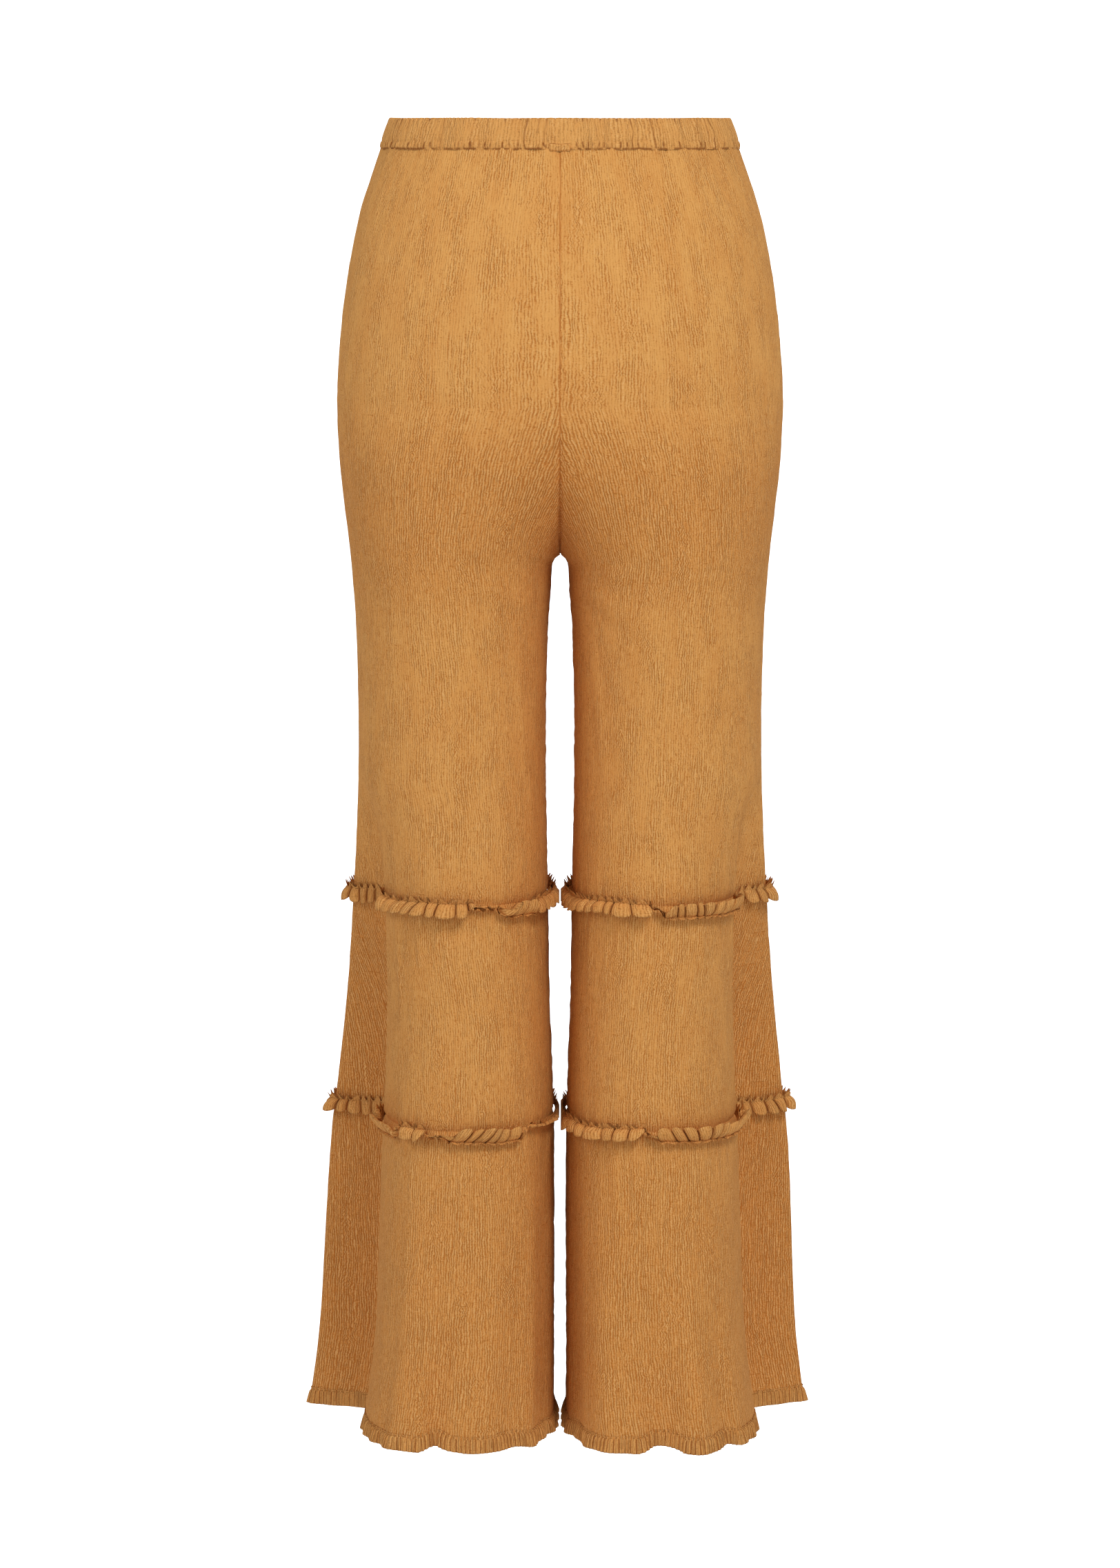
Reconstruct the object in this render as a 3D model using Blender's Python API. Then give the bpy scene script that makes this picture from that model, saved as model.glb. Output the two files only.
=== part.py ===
"""Flared trousers in crinkled cotton, filled out as if worn, with nobody in them.

The trousers hang from their elastic waist. The origin is the middle of the waistband, +Z is up, the seat
faces -Y and +X is the wearer's right. The legs have three tiers with a narrow frill in each seam between
them and a pleated frill for a hem. Every panel is a thin wall on one surface, which sections work out from
the table of sizes below, with the legs' folds added to it. Sizes are in metres, and millimetres where a
table says so.
"""

import math
from bisect import bisect_right
from collections import namedtuple

import bmesh
import bpy

MM = 0.001

# Cloth and seams.
WALL = 1.4 * MM
SEAM_GAP = 0.3 * MM

# Heights, from the middle of the waistband.
BAND_TOP = 12.5 * MM
BAND_BOTTOM = -12.5 * MM
KNEE_SEAM = -574 * MM
SHIN_SEAM = -744 * MM
HEM_SEAM = -977 * MM
HEM_EDGE = -988 * MM

# The crotch: the lowest point of the seam between the legs, and where that seam starts to curve in.
CROTCH_Z = -316.5 * MM
BACK_CURVE_TOP = -200 * MM
FRONT_CURVE_TOP = -215 * MM
CROTCH_CURVE = 2.2
CURVE_BLEND_TOP = -170 * MM
CURVE_BLEND_FOOT = -350 * MM
ARCH_HEIGHT = 9 * MM
ARCH_REACH = math.radians(110)
GAP_BLEND = 70 * MM

# Sizes at each height, in millimetres. half_width is the outline seen from the back, back and front are
# the depths, centre is where the side seam and inseam lie, front to back, and inner is half the space
# between the legs. A deep fold runs down the outer side of each leg from the knee: crease is how far it
# lies in front of the side seam, and lobe is how far the leg shows past the back's edge beyond it.
Size = namedtuple("Size", "z half_width back front centre inner crease lobe")
SIZES = [
    Size(12.5, 127.5, 88, 84, -2, 0, -42, 0),
    Size(-12.5, 135.5, 92, 88, -3, 0, -42, 0),
    Size(-54, 149.5, 104, 95, -6, 0, -42, 0),
    Size(-85, 156.5, 112, 99, -7, 0, -42, 0),
    Size(-116, 161.8, 119, 102, -8, 0, -42, 0),
    Size(-148, 165.5, 124, 104, -8, 0, -42, 0),
    Size(-195, 168.5, 127, 105, -8, 0, -42, 0),
    Size(-242, 167.0, 122, 104, -7, 0, -42, 0),
    Size(-273, 163.8, 116, 102, -6, 0, -42, 0),
    Size(-316.5, 158.8, 109, 100, -5, 5.4, -42, 0),
    Size(-340, 156.8, 106, 99, -5, 6.9, -42, 0),
    Size(-368, 155.0, 104, 98, -4, 9.0, -42, 0),
    Size(-431, 153.4, 101, 96, -4, 10.8, -42, 0),
    Size(-480, 153.7, 99.5, 95, -3, 10.8, -37, 0),
    Size(-520, 154.9, 99, 95, -2, 10.4, -30, 10),
    Size(-576, 158.0, 99, 97, -1, 9.2, -20, 20),
    Size(-654, 164.0, 101, 101, 0, 8.0, -8, 30),
    Size(-719, 170.8, 103, 106, 2, 5.8, -1, 36),
    Size(-783, 177.5, 105, 111, 3, 4.7, 3, 40),
    Size(-848, 181.0, 107, 115, 4, 4.5, 5, 41.5),
    Size(-913, 184.8, 109, 120, 5, 4.8, 6, 42.5),
    Size(-945, 188.0, 111, 123, 5, 4.8, 6, 42),
    Size(-988, 194.0, 114, 127, 6, 4.6, 6, 42),
]
SIDE_RADIUS = 75 * MM

# The sections' squareness at the waist and at the hem (2 is an ellipse), and the deep fold: how far it
# tucks in past the back's own edge, and its reach to either side of the crease.
WAIST_SQUARENESS = 2.2
HEM_SQUARENESS = 2.75
TUCK = 8 * MM
TUCK_BACK_REACH = math.radians(11)
TUCK_FRONT_REACH = math.radians(16)
FULL_LOBE = 30 * MM

# Soft folds down the legs. around is the place on the leg in degrees: 0 is the outer side, -90 the back,
# 90 the front and 180 the inseam. depth is outwards at the fold's foot, in millimetres, and width is half
# its own width in degrees. The fold fades in between the heights top and foot, in millimetres.
Fold = namedtuple("Fold", "leg around width depth top foot")
FOLDS = [
    Fold("left", -150, 17, -3.0, -640, -960),
    Fold("left", -118, 18, -4.0, -760, -975),
    Fold("left", -82, 10, -8.0, -820, -985),
    Fold("left", -58, 13, 3.0, -720, -980),
    Fold("left", 24, 20, 2.5, -640, -900),
    Fold("left", 64, 16, -8.0, -640, -980),
    Fold("left", 92, 15, 6.0, -600, -960),
    Fold("left", 122, 14, -7.0, -700, -985),
    Fold("left", 152, 14, 3.0, -780, -985),
    Fold("right", -150, 14, -3.0, -700, -980),
    Fold("right", -119, 18, 4.0, -720, -985),
    Fold("right", -90, 10, -8.0, -860, -985),
    Fold("right", -74, 10, 4.5, -800, -985),
    Fold("right", -54, 12, -5.0, -840, -985),
    Fold("right", 24, 20, -2.5, -800, -990),
    Fold("right", 60, 14, -6.0, -680, -985),
    Fold("right", 86, 15, 6.0, -620, -970),
    Fold("right", 114, 15, -8.0, -660, -985),
    Fold("right", 146, 15, 3.5, -740, -985),
]
HEM_LIFT = 0.55

# How finely each kind of piece is divided.
DENSE = 120
COLUMNS = 16
CROTCH_STEPS = (1.0 * MM, 4.0 * MM, 10 * MM, 22 * MM)
CROTCH_REACH = 48 * MM
ROWS_ABOVE_CROTCH = 7
ROWS_BELOW_CROTCH = 6
MIDDLE_ROWS = 3
LOWER_ROWS = 5
SIDE_CROWDING = 1.5
CURVE_SHARE = 0.4
NORMAL_STEP = 3 * MM
NORMAL_TURN = math.radians(1)

# Frills: a strip gathered into waves. stand is how far its free edge stands off the leg and swing how far
# that edge waves in and out.
FRILL_WALL = 1.2 * MM
FRILL_HEIGHT = 15 * MM
FRILL_RISE = 2.5 * MM
FRILL_STAND = 7.5 * MM
FRILL_SWING = 4.2 * MM
FRILL_LEAN = 2.4 * MM
FRILL_LEAST = 2.3 * MM
FRILL_FOLD_REACH = math.radians(17)
FRILL_COUNT = 128
FRILL_LEVELS = (
    # drop below the strip's top, share of the stand, share of the swing
    (0.0, 0.25, 0.16),
    (1.0, 1.0, 1.0),
)
FRILL_UNEVEN = 0.25
FRILL_DRIFT = 0.37
FRILL_STARTS = {"left": 1, "right": 3}
KNEE_WAVES = 20
SHIN_WAVES = 22
HEM_WAVES = 30
HEM_FLARE = 2.2 * MM
HEM_SWING = 2.3 * MM
HEM_LEVELS = (
    # drop below the strip's top, flare, share of the swing
    (0.0, 0.0, 0.0),
    (1.0, HEM_FLARE, 1.0),
)
HEM_UNEVEN = 0.3
HEM_DRIFT = 0.31
HEM_STARTS = {"left": 2, "right": 0}
LEG_CLEARANCE = 0.6 * MM

# The elastic casing.
BAND_GATHERS = 34
BAND_STEPS_PER_GATHER = 4
BAND_THICKNESS = 3.0 * MM
BAND_PUCKER = 1.0 * MM
BAND_UNEVEN = 0.25
BAND_DRIFT = 0.43
FLAT_STRETCH = 13 * MM
GATHERED_FROM = 19 * MM
CASING_LEVELS = (
    # share of the way up, how full the casing is there, share of the pucker
    (0.0, 0.35, 0.8),
    (0.5, 1.0, 1.0),
    (1.0, 0.2, 0.6),
)

# The small rectangle sewn down on the casing's foot at the centre back.
TAB_TOP = -6 * MM
TAB_WIDTH = 15.5 * MM
TAB_HEIGHT = 6 * MM
TAB_WALL = 0.9 * MM
TAB_CLEARANCE = 0.4 * MM
TAB_COLUMNS = 6
TAB_ROWS = 2

OCHRE = (0.60, 0.31, 0.094, 1.0)
OCHRE_DEEP = (0.52, 0.26, 0.075, 1.0)


# Sections ---------------------------------------------------------------------------------------------


def size_at(z):
    """The row of SIZES at height z, in metres, on a smooth curve through the table's rows."""
    heights = [-row.z for row in SIZES]
    at = min(max(-z / MM, heights[0]), heights[-1])
    i = min(max(bisect_right(heights, at) - 1, 0), len(SIZES) - 2)
    span = heights[i + 1] - heights[i]
    t = (at - heights[i]) / span

    def slope(j, column):
        low, high = max(j - 1, 0), min(j + 1, len(SIZES) - 1)
        return (SIZES[high][column] - SIZES[low][column]) / (heights[high] - heights[low])

    values = []
    for column in range(1, len(Size._fields)):
        a, b = SIZES[i][column], SIZES[i + 1][column]
        m_a, m_b = slope(i, column) * span, slope(i + 1, column) * span
        if a == b:
            m_a = m_b = 0
        cubic = (
            a * (1 + 2 * t) * (1 - t) ** 2
            + m_a * t * (1 - t) ** 2
            + b * t * t * (3 - 2 * t)
            + m_b * t * t * (t - 1)
        )
        values.append(cubic * MM)
    return Size(z, *values)


def smooth_ramp(value, start, end):
    """0 at start and 1 at end, with no corner at either."""
    t = min(max((value - start) / (end - start), 0), 1)
    return t * t * (3 - 2 * t)


def bump(distance, reach):
    """1 at no distance and 0 at reach, with no corner."""
    t = min(abs(distance) / reach, 1)
    return (1 - t * t) ** 2


def signed_power(value, power):
    return math.copysign(abs(value) ** power, value)


def fold_depth(leg, around, z):
    """How far the leg's folds move a point out, in metres."""
    total = 0
    for fold in FOLDS:
        if fold.leg != leg:
            continue
        away = math.degrees(around) - fold.around
        strength = smooth_ramp(z, fold.top * MM, fold.foot * MM)
        total += fold.depth * MM * strength * bump(away, fold.width)
    return total


def squareness(z):
    return WAIST_SQUARENESS + (HEM_SQUARENESS - WAIST_SQUARENESS) * smooth_ramp(z, KNEE_SEAM, HEM_SEAM)


def seam_start(face, z, outer):
    """The half-width and middle of the arc at height z, and the angle at which it starts.

    Above the crotch the arc starts on the centre seam, which curves in under the body. Below it the arc
    starts at the inseam.
    """
    if z > CROTCH_Z:
        top = BACK_CURVE_TOP if face == "back" else FRONT_CURVE_TOP
        down = min(max((top - z) / (top - CROTCH_Z), 0), 1)
        kept = math.sqrt(1 - down**CROTCH_CURVE)
        sine = kept ** (squareness(z) / 2)
        cosine = math.sqrt(max(1 - sine * sine, 0))
        past = cosine ** (2 / squareness(z))
        half = outer / (1 + past)
        return half, half * past, math.pi - math.asin(sine)
    inner = size_at(z).inner * smooth_ramp(z, CROTCH_Z, CROTCH_Z - GAP_BLEND)
    return (outer - inner) / 2, (outer + inner) / 2, math.pi


def arch_shift(z, angle):
    """How far the round arch under the crotch moves a point away from the other leg."""
    if z > CROTCH_Z:
        return 0
    under = min((CROTCH_Z - z) / ARCH_HEIGHT, 1)
    arch = math.sqrt(1 - (1 - under) ** 2) - smooth_ramp(z, CROTCH_Z, CROTCH_Z - GAP_BLEND)
    return size_at(z).inner * arch * smooth_ramp(abs(angle), ARCH_REACH, math.pi)


def arc(face, leg, z):
    """Points (x, y) of one face of a leg at height z, from its inner edge to the side seam, close together.

    They are worked out for the wearer's right leg. The left leg is its mirror image, with folds of its own.
    """
    size = size_at(z)
    side = -1 if face == "back" else 1
    reach = size.back + size.centre if face == "back" else size.front - size.centre
    power = 2 / squareness(z)
    half, middle, start = seam_start(face, z, size.half_width - size.lobe)

    grown = min(size.lobe / FULL_LOBE, 1)
    crease = size.crease / SIDE_RADIUS
    crest = math.cos(max(crease + TUCK_FRONT_REACH, 0)) ** power
    inner_end = middle - half
    lobe_half = (size.half_width - inner_end) / (2 + grown * (crest - 1))
    lobe_middle = inner_end + lobe_half
    tuck = TUCK * grown
    pull = lobe_middle - middle + (lobe_half - half) * math.cos(crease) ** power + tuck

    points = []
    for i in range(DENSE + 1):
        angle = side * start * (1 - i / DENSE)
        across = signed_power(math.cos(angle), power)
        if angle < crease:
            x = middle + half * across - tuck * bump(angle - crease, TUCK_BACK_REACH)
        else:
            x = lobe_middle + lobe_half * across - pull * bump(angle - crease, TUCK_FRONT_REACH)
        x += arch_shift(z, angle)
        points.append((x, size.centre + reach * signed_power(math.sin(angle), power), angle))
    return with_folds(points, leg, z, side)


def arc_length(face, leg, z):
    points = arc(face, leg, z)
    return sum(math.dist(a[:2], b[:2]) for a, b in zip(points, points[1:]))


def column_places(face, leg, z):
    """How far round each of a panel's columns lies at height z, from its inner edge, as shares of 1.

    Where the centre seam curves in under the body the panel grows wider within a few millimetres. Most
    columns run straight through there, and the CURVE_SHARE nearest to that seam take the extra width.
    """
    length = arc_length(face, leg, z)
    base = length
    top, foot = CURVE_BLEND_TOP, CURVE_BLEND_FOOT
    if foot < z < top:
        down = smooth_ramp(z, top, foot)
        base = arc_length(face, leg, top) * (1 - down) + arc_length(face, leg, foot) * down
    places = []
    for i in range(COLUMNS + 1):
        from_side = (1 - i / COLUMNS) ** SIDE_CROWDING
        extra = max(1 - (1 - from_side) / CURVE_SHARE, 0) ** 2
        places.append(1 - (base * from_side + (length - base) * extra) / length)
    return places


def with_folds(points, leg, z, side):
    """The arc's points moved out by the leg's folds, square to the arc."""
    moved = []
    for i, (x, y, around) in enumerate(points):
        before, after = points[max(i - 1, 0)], points[min(i + 1, len(points) - 1)]
        along_x, along_y = after[0] - before[0], after[1] - before[1]
        length = math.hypot(along_x, along_y)
        out = fold_depth(leg, around, z)
        moved.append((x - side * out * along_y / length, y + side * out * along_x / length, around))
    return moved


def spaced(points, shares):
    """Points at these shares of the way along a chain of points."""
    run = [0.0]
    for a, b in zip(points, points[1:]):
        run.append(run[-1] + math.dist(a[:2], b[:2]))
    found = []
    for share in shares:
        goal = share * run[-1]
        i = min(max(bisect_right(run, goal) - 1, 0), len(points) - 2)
        t = (goal - run[i]) / (run[i + 1] - run[i])
        found.append(tuple(p + (q - p) * t for p, q in zip(points[i], points[i + 1])))
    return found


def mirror_sign(leg):
    return 1 if leg == "right" else -1


def hem_lift(leg, angle):
    """How far the hem rises where the cloth folds in."""
    return -HEM_LIFT * min(fold_depth(leg, angle, HEM_SEAM), 0)


# Panels -----------------------------------------------------------------------------------------------


def surface_rows(face, leg, heights, lifted):
    """Rows of points on the outer surface of a panel, one row for each height, and their angles."""
    rows, angles = [], []
    for z in heights:
        lift = smooth_ramp(z, SHIN_SEAM, HEM_SEAM) if lifted else 0
        places = column_places(face, leg, z)
        row = spaced(arc(face, leg, z), places)
        rows.append([(x, y, z + lift * hem_lift(leg, angle)) for x, y, angle in row])
        angles.append([angle for x, y, angle in row])
    return rows, angles


def whole_leg(leg, z):
    """The points of both faces at height z, in order of their angles, from the back's inner edge."""
    return arc("back", leg, z) + arc("front", leg, z)[::-1][1:]


def at_angle(points, angle):
    """The point (x, y) at an angle, on a chain of points in order of their angles, or its nearest end."""
    i = min(max(bisect_right(points, angle, key=lambda point: point[2]) - 1, 0), len(points) - 2)
    a, b = points[i], points[i + 1]
    t = min(max((angle - a[2]) / (b[2] - a[2]), 0), 1)
    return a[0] + (b[0] - a[0]) * t, a[1] + (b[1] - a[1]) * t


def surface_normals(leg, heights, angles):
    """The outward direction at each point of a panel's rows, from the sections just above and below."""
    normals = []
    for z, row in zip(heights, angles):
        here, above, below = (whole_leg(leg, z + step) for step in (0, NORMAL_STEP, -NORMAL_STEP))
        line = []
        for angle in row:
            a, b = at_angle(here, angle - NORMAL_TURN), at_angle(here, angle + NORMAL_TURN)
            c, d = at_angle(above, angle), at_angle(below, angle)
            u = (b[0] - a[0], b[1] - a[1])
            v = (d[0] - c[0], d[1] - c[1], -2 * NORMAL_STEP)
            n = [-u[1] * v[2], u[0] * v[2], u[1] * v[0] - u[0] * v[1]]
            if z <= CROTCH_Z and abs(angle) > math.pi - NORMAL_TURN:
                n[1] = 0
            size = math.hypot(*n)
            line.append(tuple(value / size for value in n))
        normals.append(line)
    return normals


def wall_mesh(name, outer, inner, closed):
    """A mesh between two grids of points, closed round their edges, or round its length if closed."""
    bm = bmesh.new()
    outer = [[bm.verts.new(p) for p in row] for row in outer]
    inner = [[bm.verts.new(p) for p in row] for row in inner]
    rows, columns = len(outer), len(outer[0])
    spans = columns if closed else columns - 1
    for j in range(spans):
        k = (j + 1) % columns
        for i in range(rows - 1):
            bm.faces.new((outer[i][j], outer[i][k], outer[i + 1][k], outer[i + 1][j]))
            bm.faces.new((inner[i][j], inner[i + 1][j], inner[i + 1][k], inner[i][k]))
        bm.faces.new((outer[0][j], inner[0][j], inner[0][k], outer[0][k]))
        bm.faces.new((outer[-1][j], outer[-1][k], inner[-1][k], inner[-1][j]))
    if not closed:
        for j, turn in ((0, 1), (-1, -1)):
            for i in range(rows - 1):
                around = (outer[i][j], outer[i + 1][j], inner[i + 1][j], inner[i][j])
                bm.faces.new(around[::turn])
    bmesh.ops.recalc_face_normals(bm, faces=bm.faces)
    bmesh.ops.triangulate(bm, faces=bm.faces, quad_method="SHORT_EDGE")
    mesh = bpy.data.meshes.new(name)
    bm.to_mesh(mesh)
    bm.free()
    mesh.shade_smooth()
    mesh.set_sharp_from_angle(angle=math.radians(50))
    return mesh


def add_object(name, mesh, material):
    mesh.materials.append(material)
    made = bpy.data.objects.new(name, mesh)
    bpy.context.scene.collection.objects.link(made)
    return made


def panel(name, face, leg, heights, material, lifted=False):
    """One cut piece of a leg: a wall on the legs' surface, kept a seam's gap from its neighbours."""
    side = -1 if face == "back" else 1
    rows, angles = surface_rows(face, leg, heights, lifted)
    normals = surface_normals(leg, heights, angles)
    mirror = mirror_sign(leg)
    shift_x, shift_y = SEAM_GAP / 2, side * SEAM_GAP / 2
    outer, inner = [], []
    for row, line in zip(rows, normals):
        moved = [(x + shift_x, y + shift_y, z) for x, y, z in row]
        pushed = [tuple(p - WALL * n for p, n in zip(point, normal)) for point, normal in zip(moved, line)]
        outer.append([(mirror * x, y, z) for x, y, z in moved])
        inner.append([(mirror * max(x, shift_x), y, z) for x, y, z in pushed])
    return add_object(name, wall_mesh(name, outer, inner, closed=False), material)


def even_heights(top, bottom, count):
    return [top + (bottom - top) * i / count for i in range(count + 1)]


def upper_heights():
    """Heights of the rows of an upper panel, close together where the seam turns under the crotch."""
    above = even_heights(BAND_BOTTOM - SEAM_GAP, CROTCH_Z + CROTCH_REACH, ROWS_ABOVE_CROTCH)
    below = even_heights(CROTCH_Z - CROTCH_REACH, KNEE_SEAM + SEAM_GAP / 2, ROWS_BELOW_CROTCH)
    over = [CROTCH_Z + step for step in reversed(CROTCH_STEPS)]
    under = [CROTCH_Z - step for step in CROTCH_STEPS]
    return above + over + [CROTCH_Z] + under + below


def tier_heights(top, bottom, count):
    """Heights of the rows of a tier's panel, with one at the foot of the frill that hangs over it."""
    frill_foot = top + FRILL_RISE - FRILL_HEIGHT
    return [top - SEAM_GAP / 2] + even_heights(frill_foot, bottom + SEAM_GAP / 2, count)


# Frills -----------------------------------------------------------------------------------------------


def leg_loop(leg, z, count, lifted=False):
    """count points all round a leg at height z, on the panels' own edges, each with its angle.

    The loop starts at the inseam and runs round the back, the outer side and the front.
    """
    chain = []
    for face in ("back", "front"):
        (row,), (angles,) = surface_rows(face, leg, [z], lifted)
        edge = [(*point, angle) for point, angle in zip(row, angles)]
        chain += edge if face == "back" else edge[::-1][1:]
    return spaced(chain, [i / count for i in range(count)])


def directions(points, i):
    """The outward and onward directions at one point of a closed loop, seen from above."""
    before, after = points[i - 1], points[(i + 1) % len(points)]
    along = (after[0] - before[0], after[1] - before[1])
    length = math.hypot(*along)
    return (along[1] / length, -along[0] / length), (along[0] / length, along[1] / length)


def thickened(row, wall, mirror):
    """The outer row of a frill and the row behind it, on the side of the leg where row is."""
    outer = [(mirror * x, y, z) for x, y, z in row]
    inner = []
    for i, (x, y, z) in enumerate(row):
        outward, _ = directions(row, i)
        inner_x = max(x - outward[0] * wall, LEG_CLEARANCE)
        inner.append((mirror * inner_x, y - outward[1] * wall, z))
    return outer, inner


def frill_room(point, outward, crease):
    """The share of a frill's full stand that there is room for, by the other leg and in the side fold."""
    in_fold = bump(point[3] - crease, FRILL_FOLD_REACH)
    if outward[0] >= 0:
        return 1 - in_fold
    most = (point[0] - LEG_CLEARANCE) / -outward[0]
    full = FRILL_STAND + FRILL_SWING
    return min(max(most - FRILL_LEAST, 0) / (full - FRILL_LEAST), 1) * (1 - in_fold)


def seam_frill(name, leg, z, waves, material):
    """The gathered strip sewn into the seam between two tiers: it stands off the leg and hangs down."""
    start = FRILL_STARTS[leg]
    outer, inner = [], []
    for drop, stand_share, swing_share in FRILL_LEVELS:
        height = z + FRILL_RISE - drop * FRILL_HEIGHT
        loop = leg_loop(leg, height, FRILL_COUNT)
        crease = size_at(height).crease / SIDE_RADIUS
        row = []
        for i, point in enumerate(loop):
            outward, along = directions(loop, i)
            room = frill_room(point, outward, crease)
            turn = 2 * math.pi * waves * i / len(loop)
            uneven = 1 + FRILL_UNEVEN * math.sin(FRILL_DRIFT * turn + start)
            swing = FRILL_SWING * swing_share * uneven * math.sin(turn)
            out = FRILL_LEAST + room * max(FRILL_STAND * stand_share + swing - FRILL_LEAST, 0)
            lean = FRILL_LEAN * swing_share * math.cos(turn) * room
            x = max(point[0] + outward[0] * out + along[0] * lean, LEG_CLEARANCE)
            y = point[1] + outward[1] * out + along[1] * lean
            row.append((x, y, height))
        outer_row, inner_row = thickened(row, FRILL_WALL, mirror_sign(leg))
        outer.append(outer_row)
        inner.append(inner_row)
    return add_object(name, wall_mesh(name, outer, inner, closed=True), material)


def hem_frill(name, leg, material):
    """The pleated strip under the lowest tier: its free edge waves and flares a little."""
    loop = leg_loop(leg, HEM_SEAM, FRILL_COUNT, lifted=True)
    crease = size_at(HEM_SEAM).crease / SIDE_RADIUS
    outer, inner = [], []
    for drop, flare, swing_share in HEM_LEVELS:
        row = []
        for i, point in enumerate(loop):
            outward, _ = directions(loop, i)
            turn = 2 * math.pi * HEM_WAVES * i / len(loop)
            uneven = 1 + HEM_UNEVEN * math.sin(HEM_DRIFT * turn + HEM_STARTS[leg])
            swing = HEM_SWING * swing_share * uneven * math.sin(turn + math.pi / 4)
            out = (flare + swing) * (1 - bump(point[3] - crease, FRILL_FOLD_REACH))
            x = max(point[0] + outward[0] * out, LEG_CLEARANCE)
            y = point[1] + outward[1] * out
            row.append((x, y, point[2] - SEAM_GAP - drop * (HEM_SEAM - HEM_EDGE)))
        outer_row, inner_row = thickened(row, FRILL_WALL, mirror_sign(leg))
        outer.append(outer_row)
        inner.append(inner_row)
    return add_object(name, wall_mesh(name, outer, inner, closed=True), material)


# Waistband --------------------------------------------------------------------------------------------


def waist_loop(z, count):
    """Points and outward directions all round the waist at height z, from the centre back."""
    back, front = arc("back", "right", z), arc("front", "right", z)
    half = back + front[::-1][1:]
    loop = half + [(-x, y, 0) for x, y, _ in half[::-1][1:]]
    at = spaced(loop, [i / count for i in range(count)])
    found = []
    for i, point in enumerate(at):
        before, after = at[i - 1], at[(i + 1) % count]
        along = (after[0] - before[0], after[1] - before[1])
        length = math.hypot(*along)
        found.append((point, (along[1] / length, -along[0] / length)))
    return found


def casing_rows(up, full, pucker_share):
    """The casing's outer and inner points at one level, from the centre back, each a closed row."""
    z = BAND_BOTTOM + up * (BAND_TOP - BAND_BOTTOM)
    outer, inner = [], []
    for i, (point, outward) in enumerate(waist_loop(z, BAND_GATHERS * BAND_STEPS_PER_GATHER)):
        turn = 2 * math.pi * i / BAND_STEPS_PER_GATHER
        uneven = 1 - BAND_UNEVEN + BAND_UNEVEN * math.sin(BAND_DRIFT * turn)
        from_back = abs(point[0]) if point[1] < 0 else GATHERED_FROM
        gathered = smooth_ramp(from_back, FLAT_STRETCH, GATHERED_FROM)
        pucker = BAND_PUCKER * pucker_share * uneven * gathered * math.sin(turn + math.pi / 4)
        out = BAND_THICKNESS / 2 * full + pucker
        outer.append((point[0] + outward[0] * out, point[1] + outward[1] * out, z))
        out = -BAND_THICKNESS / 2
        inner.append((point[0] + outward[0] * out, point[1] + outward[1] * out, z))
    return outer, inner


def waistband(material):
    """The elastic casing: a gathered ring, fuller in the middle than at its seam."""
    outer, inner = zip(*(casing_rows(*level) for level in CASING_LEVELS))
    return add_object("waistband", wall_mesh("waistband", outer, inner, closed=True), material)


def depth_along(row, x):
    """How far back a row that starts at the centre back is, x away from there."""
    for (x0, y0, _), (x1, y1, _) in zip(row, row[1:]):
        if x0 <= x <= x1:
            return y0 + (y1 - y0) * (x - x0) / (x1 - x0)
    return row[0][1]


def back_tab(material):
    """The small sewn rectangle: a slab on the casing's own outer points, moved out."""
    foot, middle = (casing_rows(*level)[0] for level in CASING_LEVELS[:2])
    foot_z, middle_z = foot[0][2], middle[0][2]
    outer, inner = [], []
    for z in even_heights(TAB_TOP, TAB_TOP - TAB_HEIGHT, TAB_ROWS):
        up = (z - foot_z) / (middle_z - foot_z)
        outer_row, inner_row = [], []
        for i in range(TAB_COLUMNS + 1):
            x = TAB_WIDTH * (i / TAB_COLUMNS - 0.5)
            y = depth_along(foot, abs(x)) * (1 - up) + depth_along(middle, abs(x)) * up - TAB_CLEARANCE
            outer_row.append((x, y - TAB_WALL, z))
            inner_row.append((x, y, z))
        outer.append(outer_row)
        inner.append(inner_row)
    return add_object("back_tab", wall_mesh("back_tab", outer, inner, closed=False), material)


# Assembly ---------------------------------------------------------------------------------------------


def cloth(name, colour, roughness):
    material = bpy.data.materials.new(name)
    material.use_nodes = True
    shader = material.node_tree.nodes["Principled BSDF"]
    shader.inputs["Base Color"].default_value = colour
    shader.inputs["Roughness"].default_value = roughness
    shader.inputs["Metallic"].default_value = 0.0
    return material


def main():
    for old in list(bpy.data.objects):
        bpy.data.objects.remove(old)
    crinkle = cloth("crinkled_cotton", OCHRE, 0.9)
    frill = cloth("frill_cotton", OCHRE_DEEP, 0.9)
    band = cloth("gathered_casing", OCHRE, 0.88)
    waistband(band)
    back_tab(band)
    for leg in ("left", "right"):
        for face in ("back", "front"):
            panel(f"upper_{face}_{leg}", face, leg, upper_heights(), crinkle)
            middle = tier_heights(KNEE_SEAM, SHIN_SEAM, MIDDLE_ROWS)
            panel(f"middle_{face}_{leg}", face, leg, middle, crinkle)
            lower = tier_heights(SHIN_SEAM, HEM_SEAM, LOWER_ROWS)
            panel(f"lower_{face}_{leg}", face, leg, lower, crinkle, lifted=True)
        seam_frill(f"knee_frill_{leg}", leg, KNEE_SEAM, KNEE_WAVES, frill)
        seam_frill(f"shin_frill_{leg}", leg, SHIN_SEAM, SHIN_WAVES, frill)
        hem_frill(f"hem_frill_{leg}", leg, frill)


main()
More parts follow.
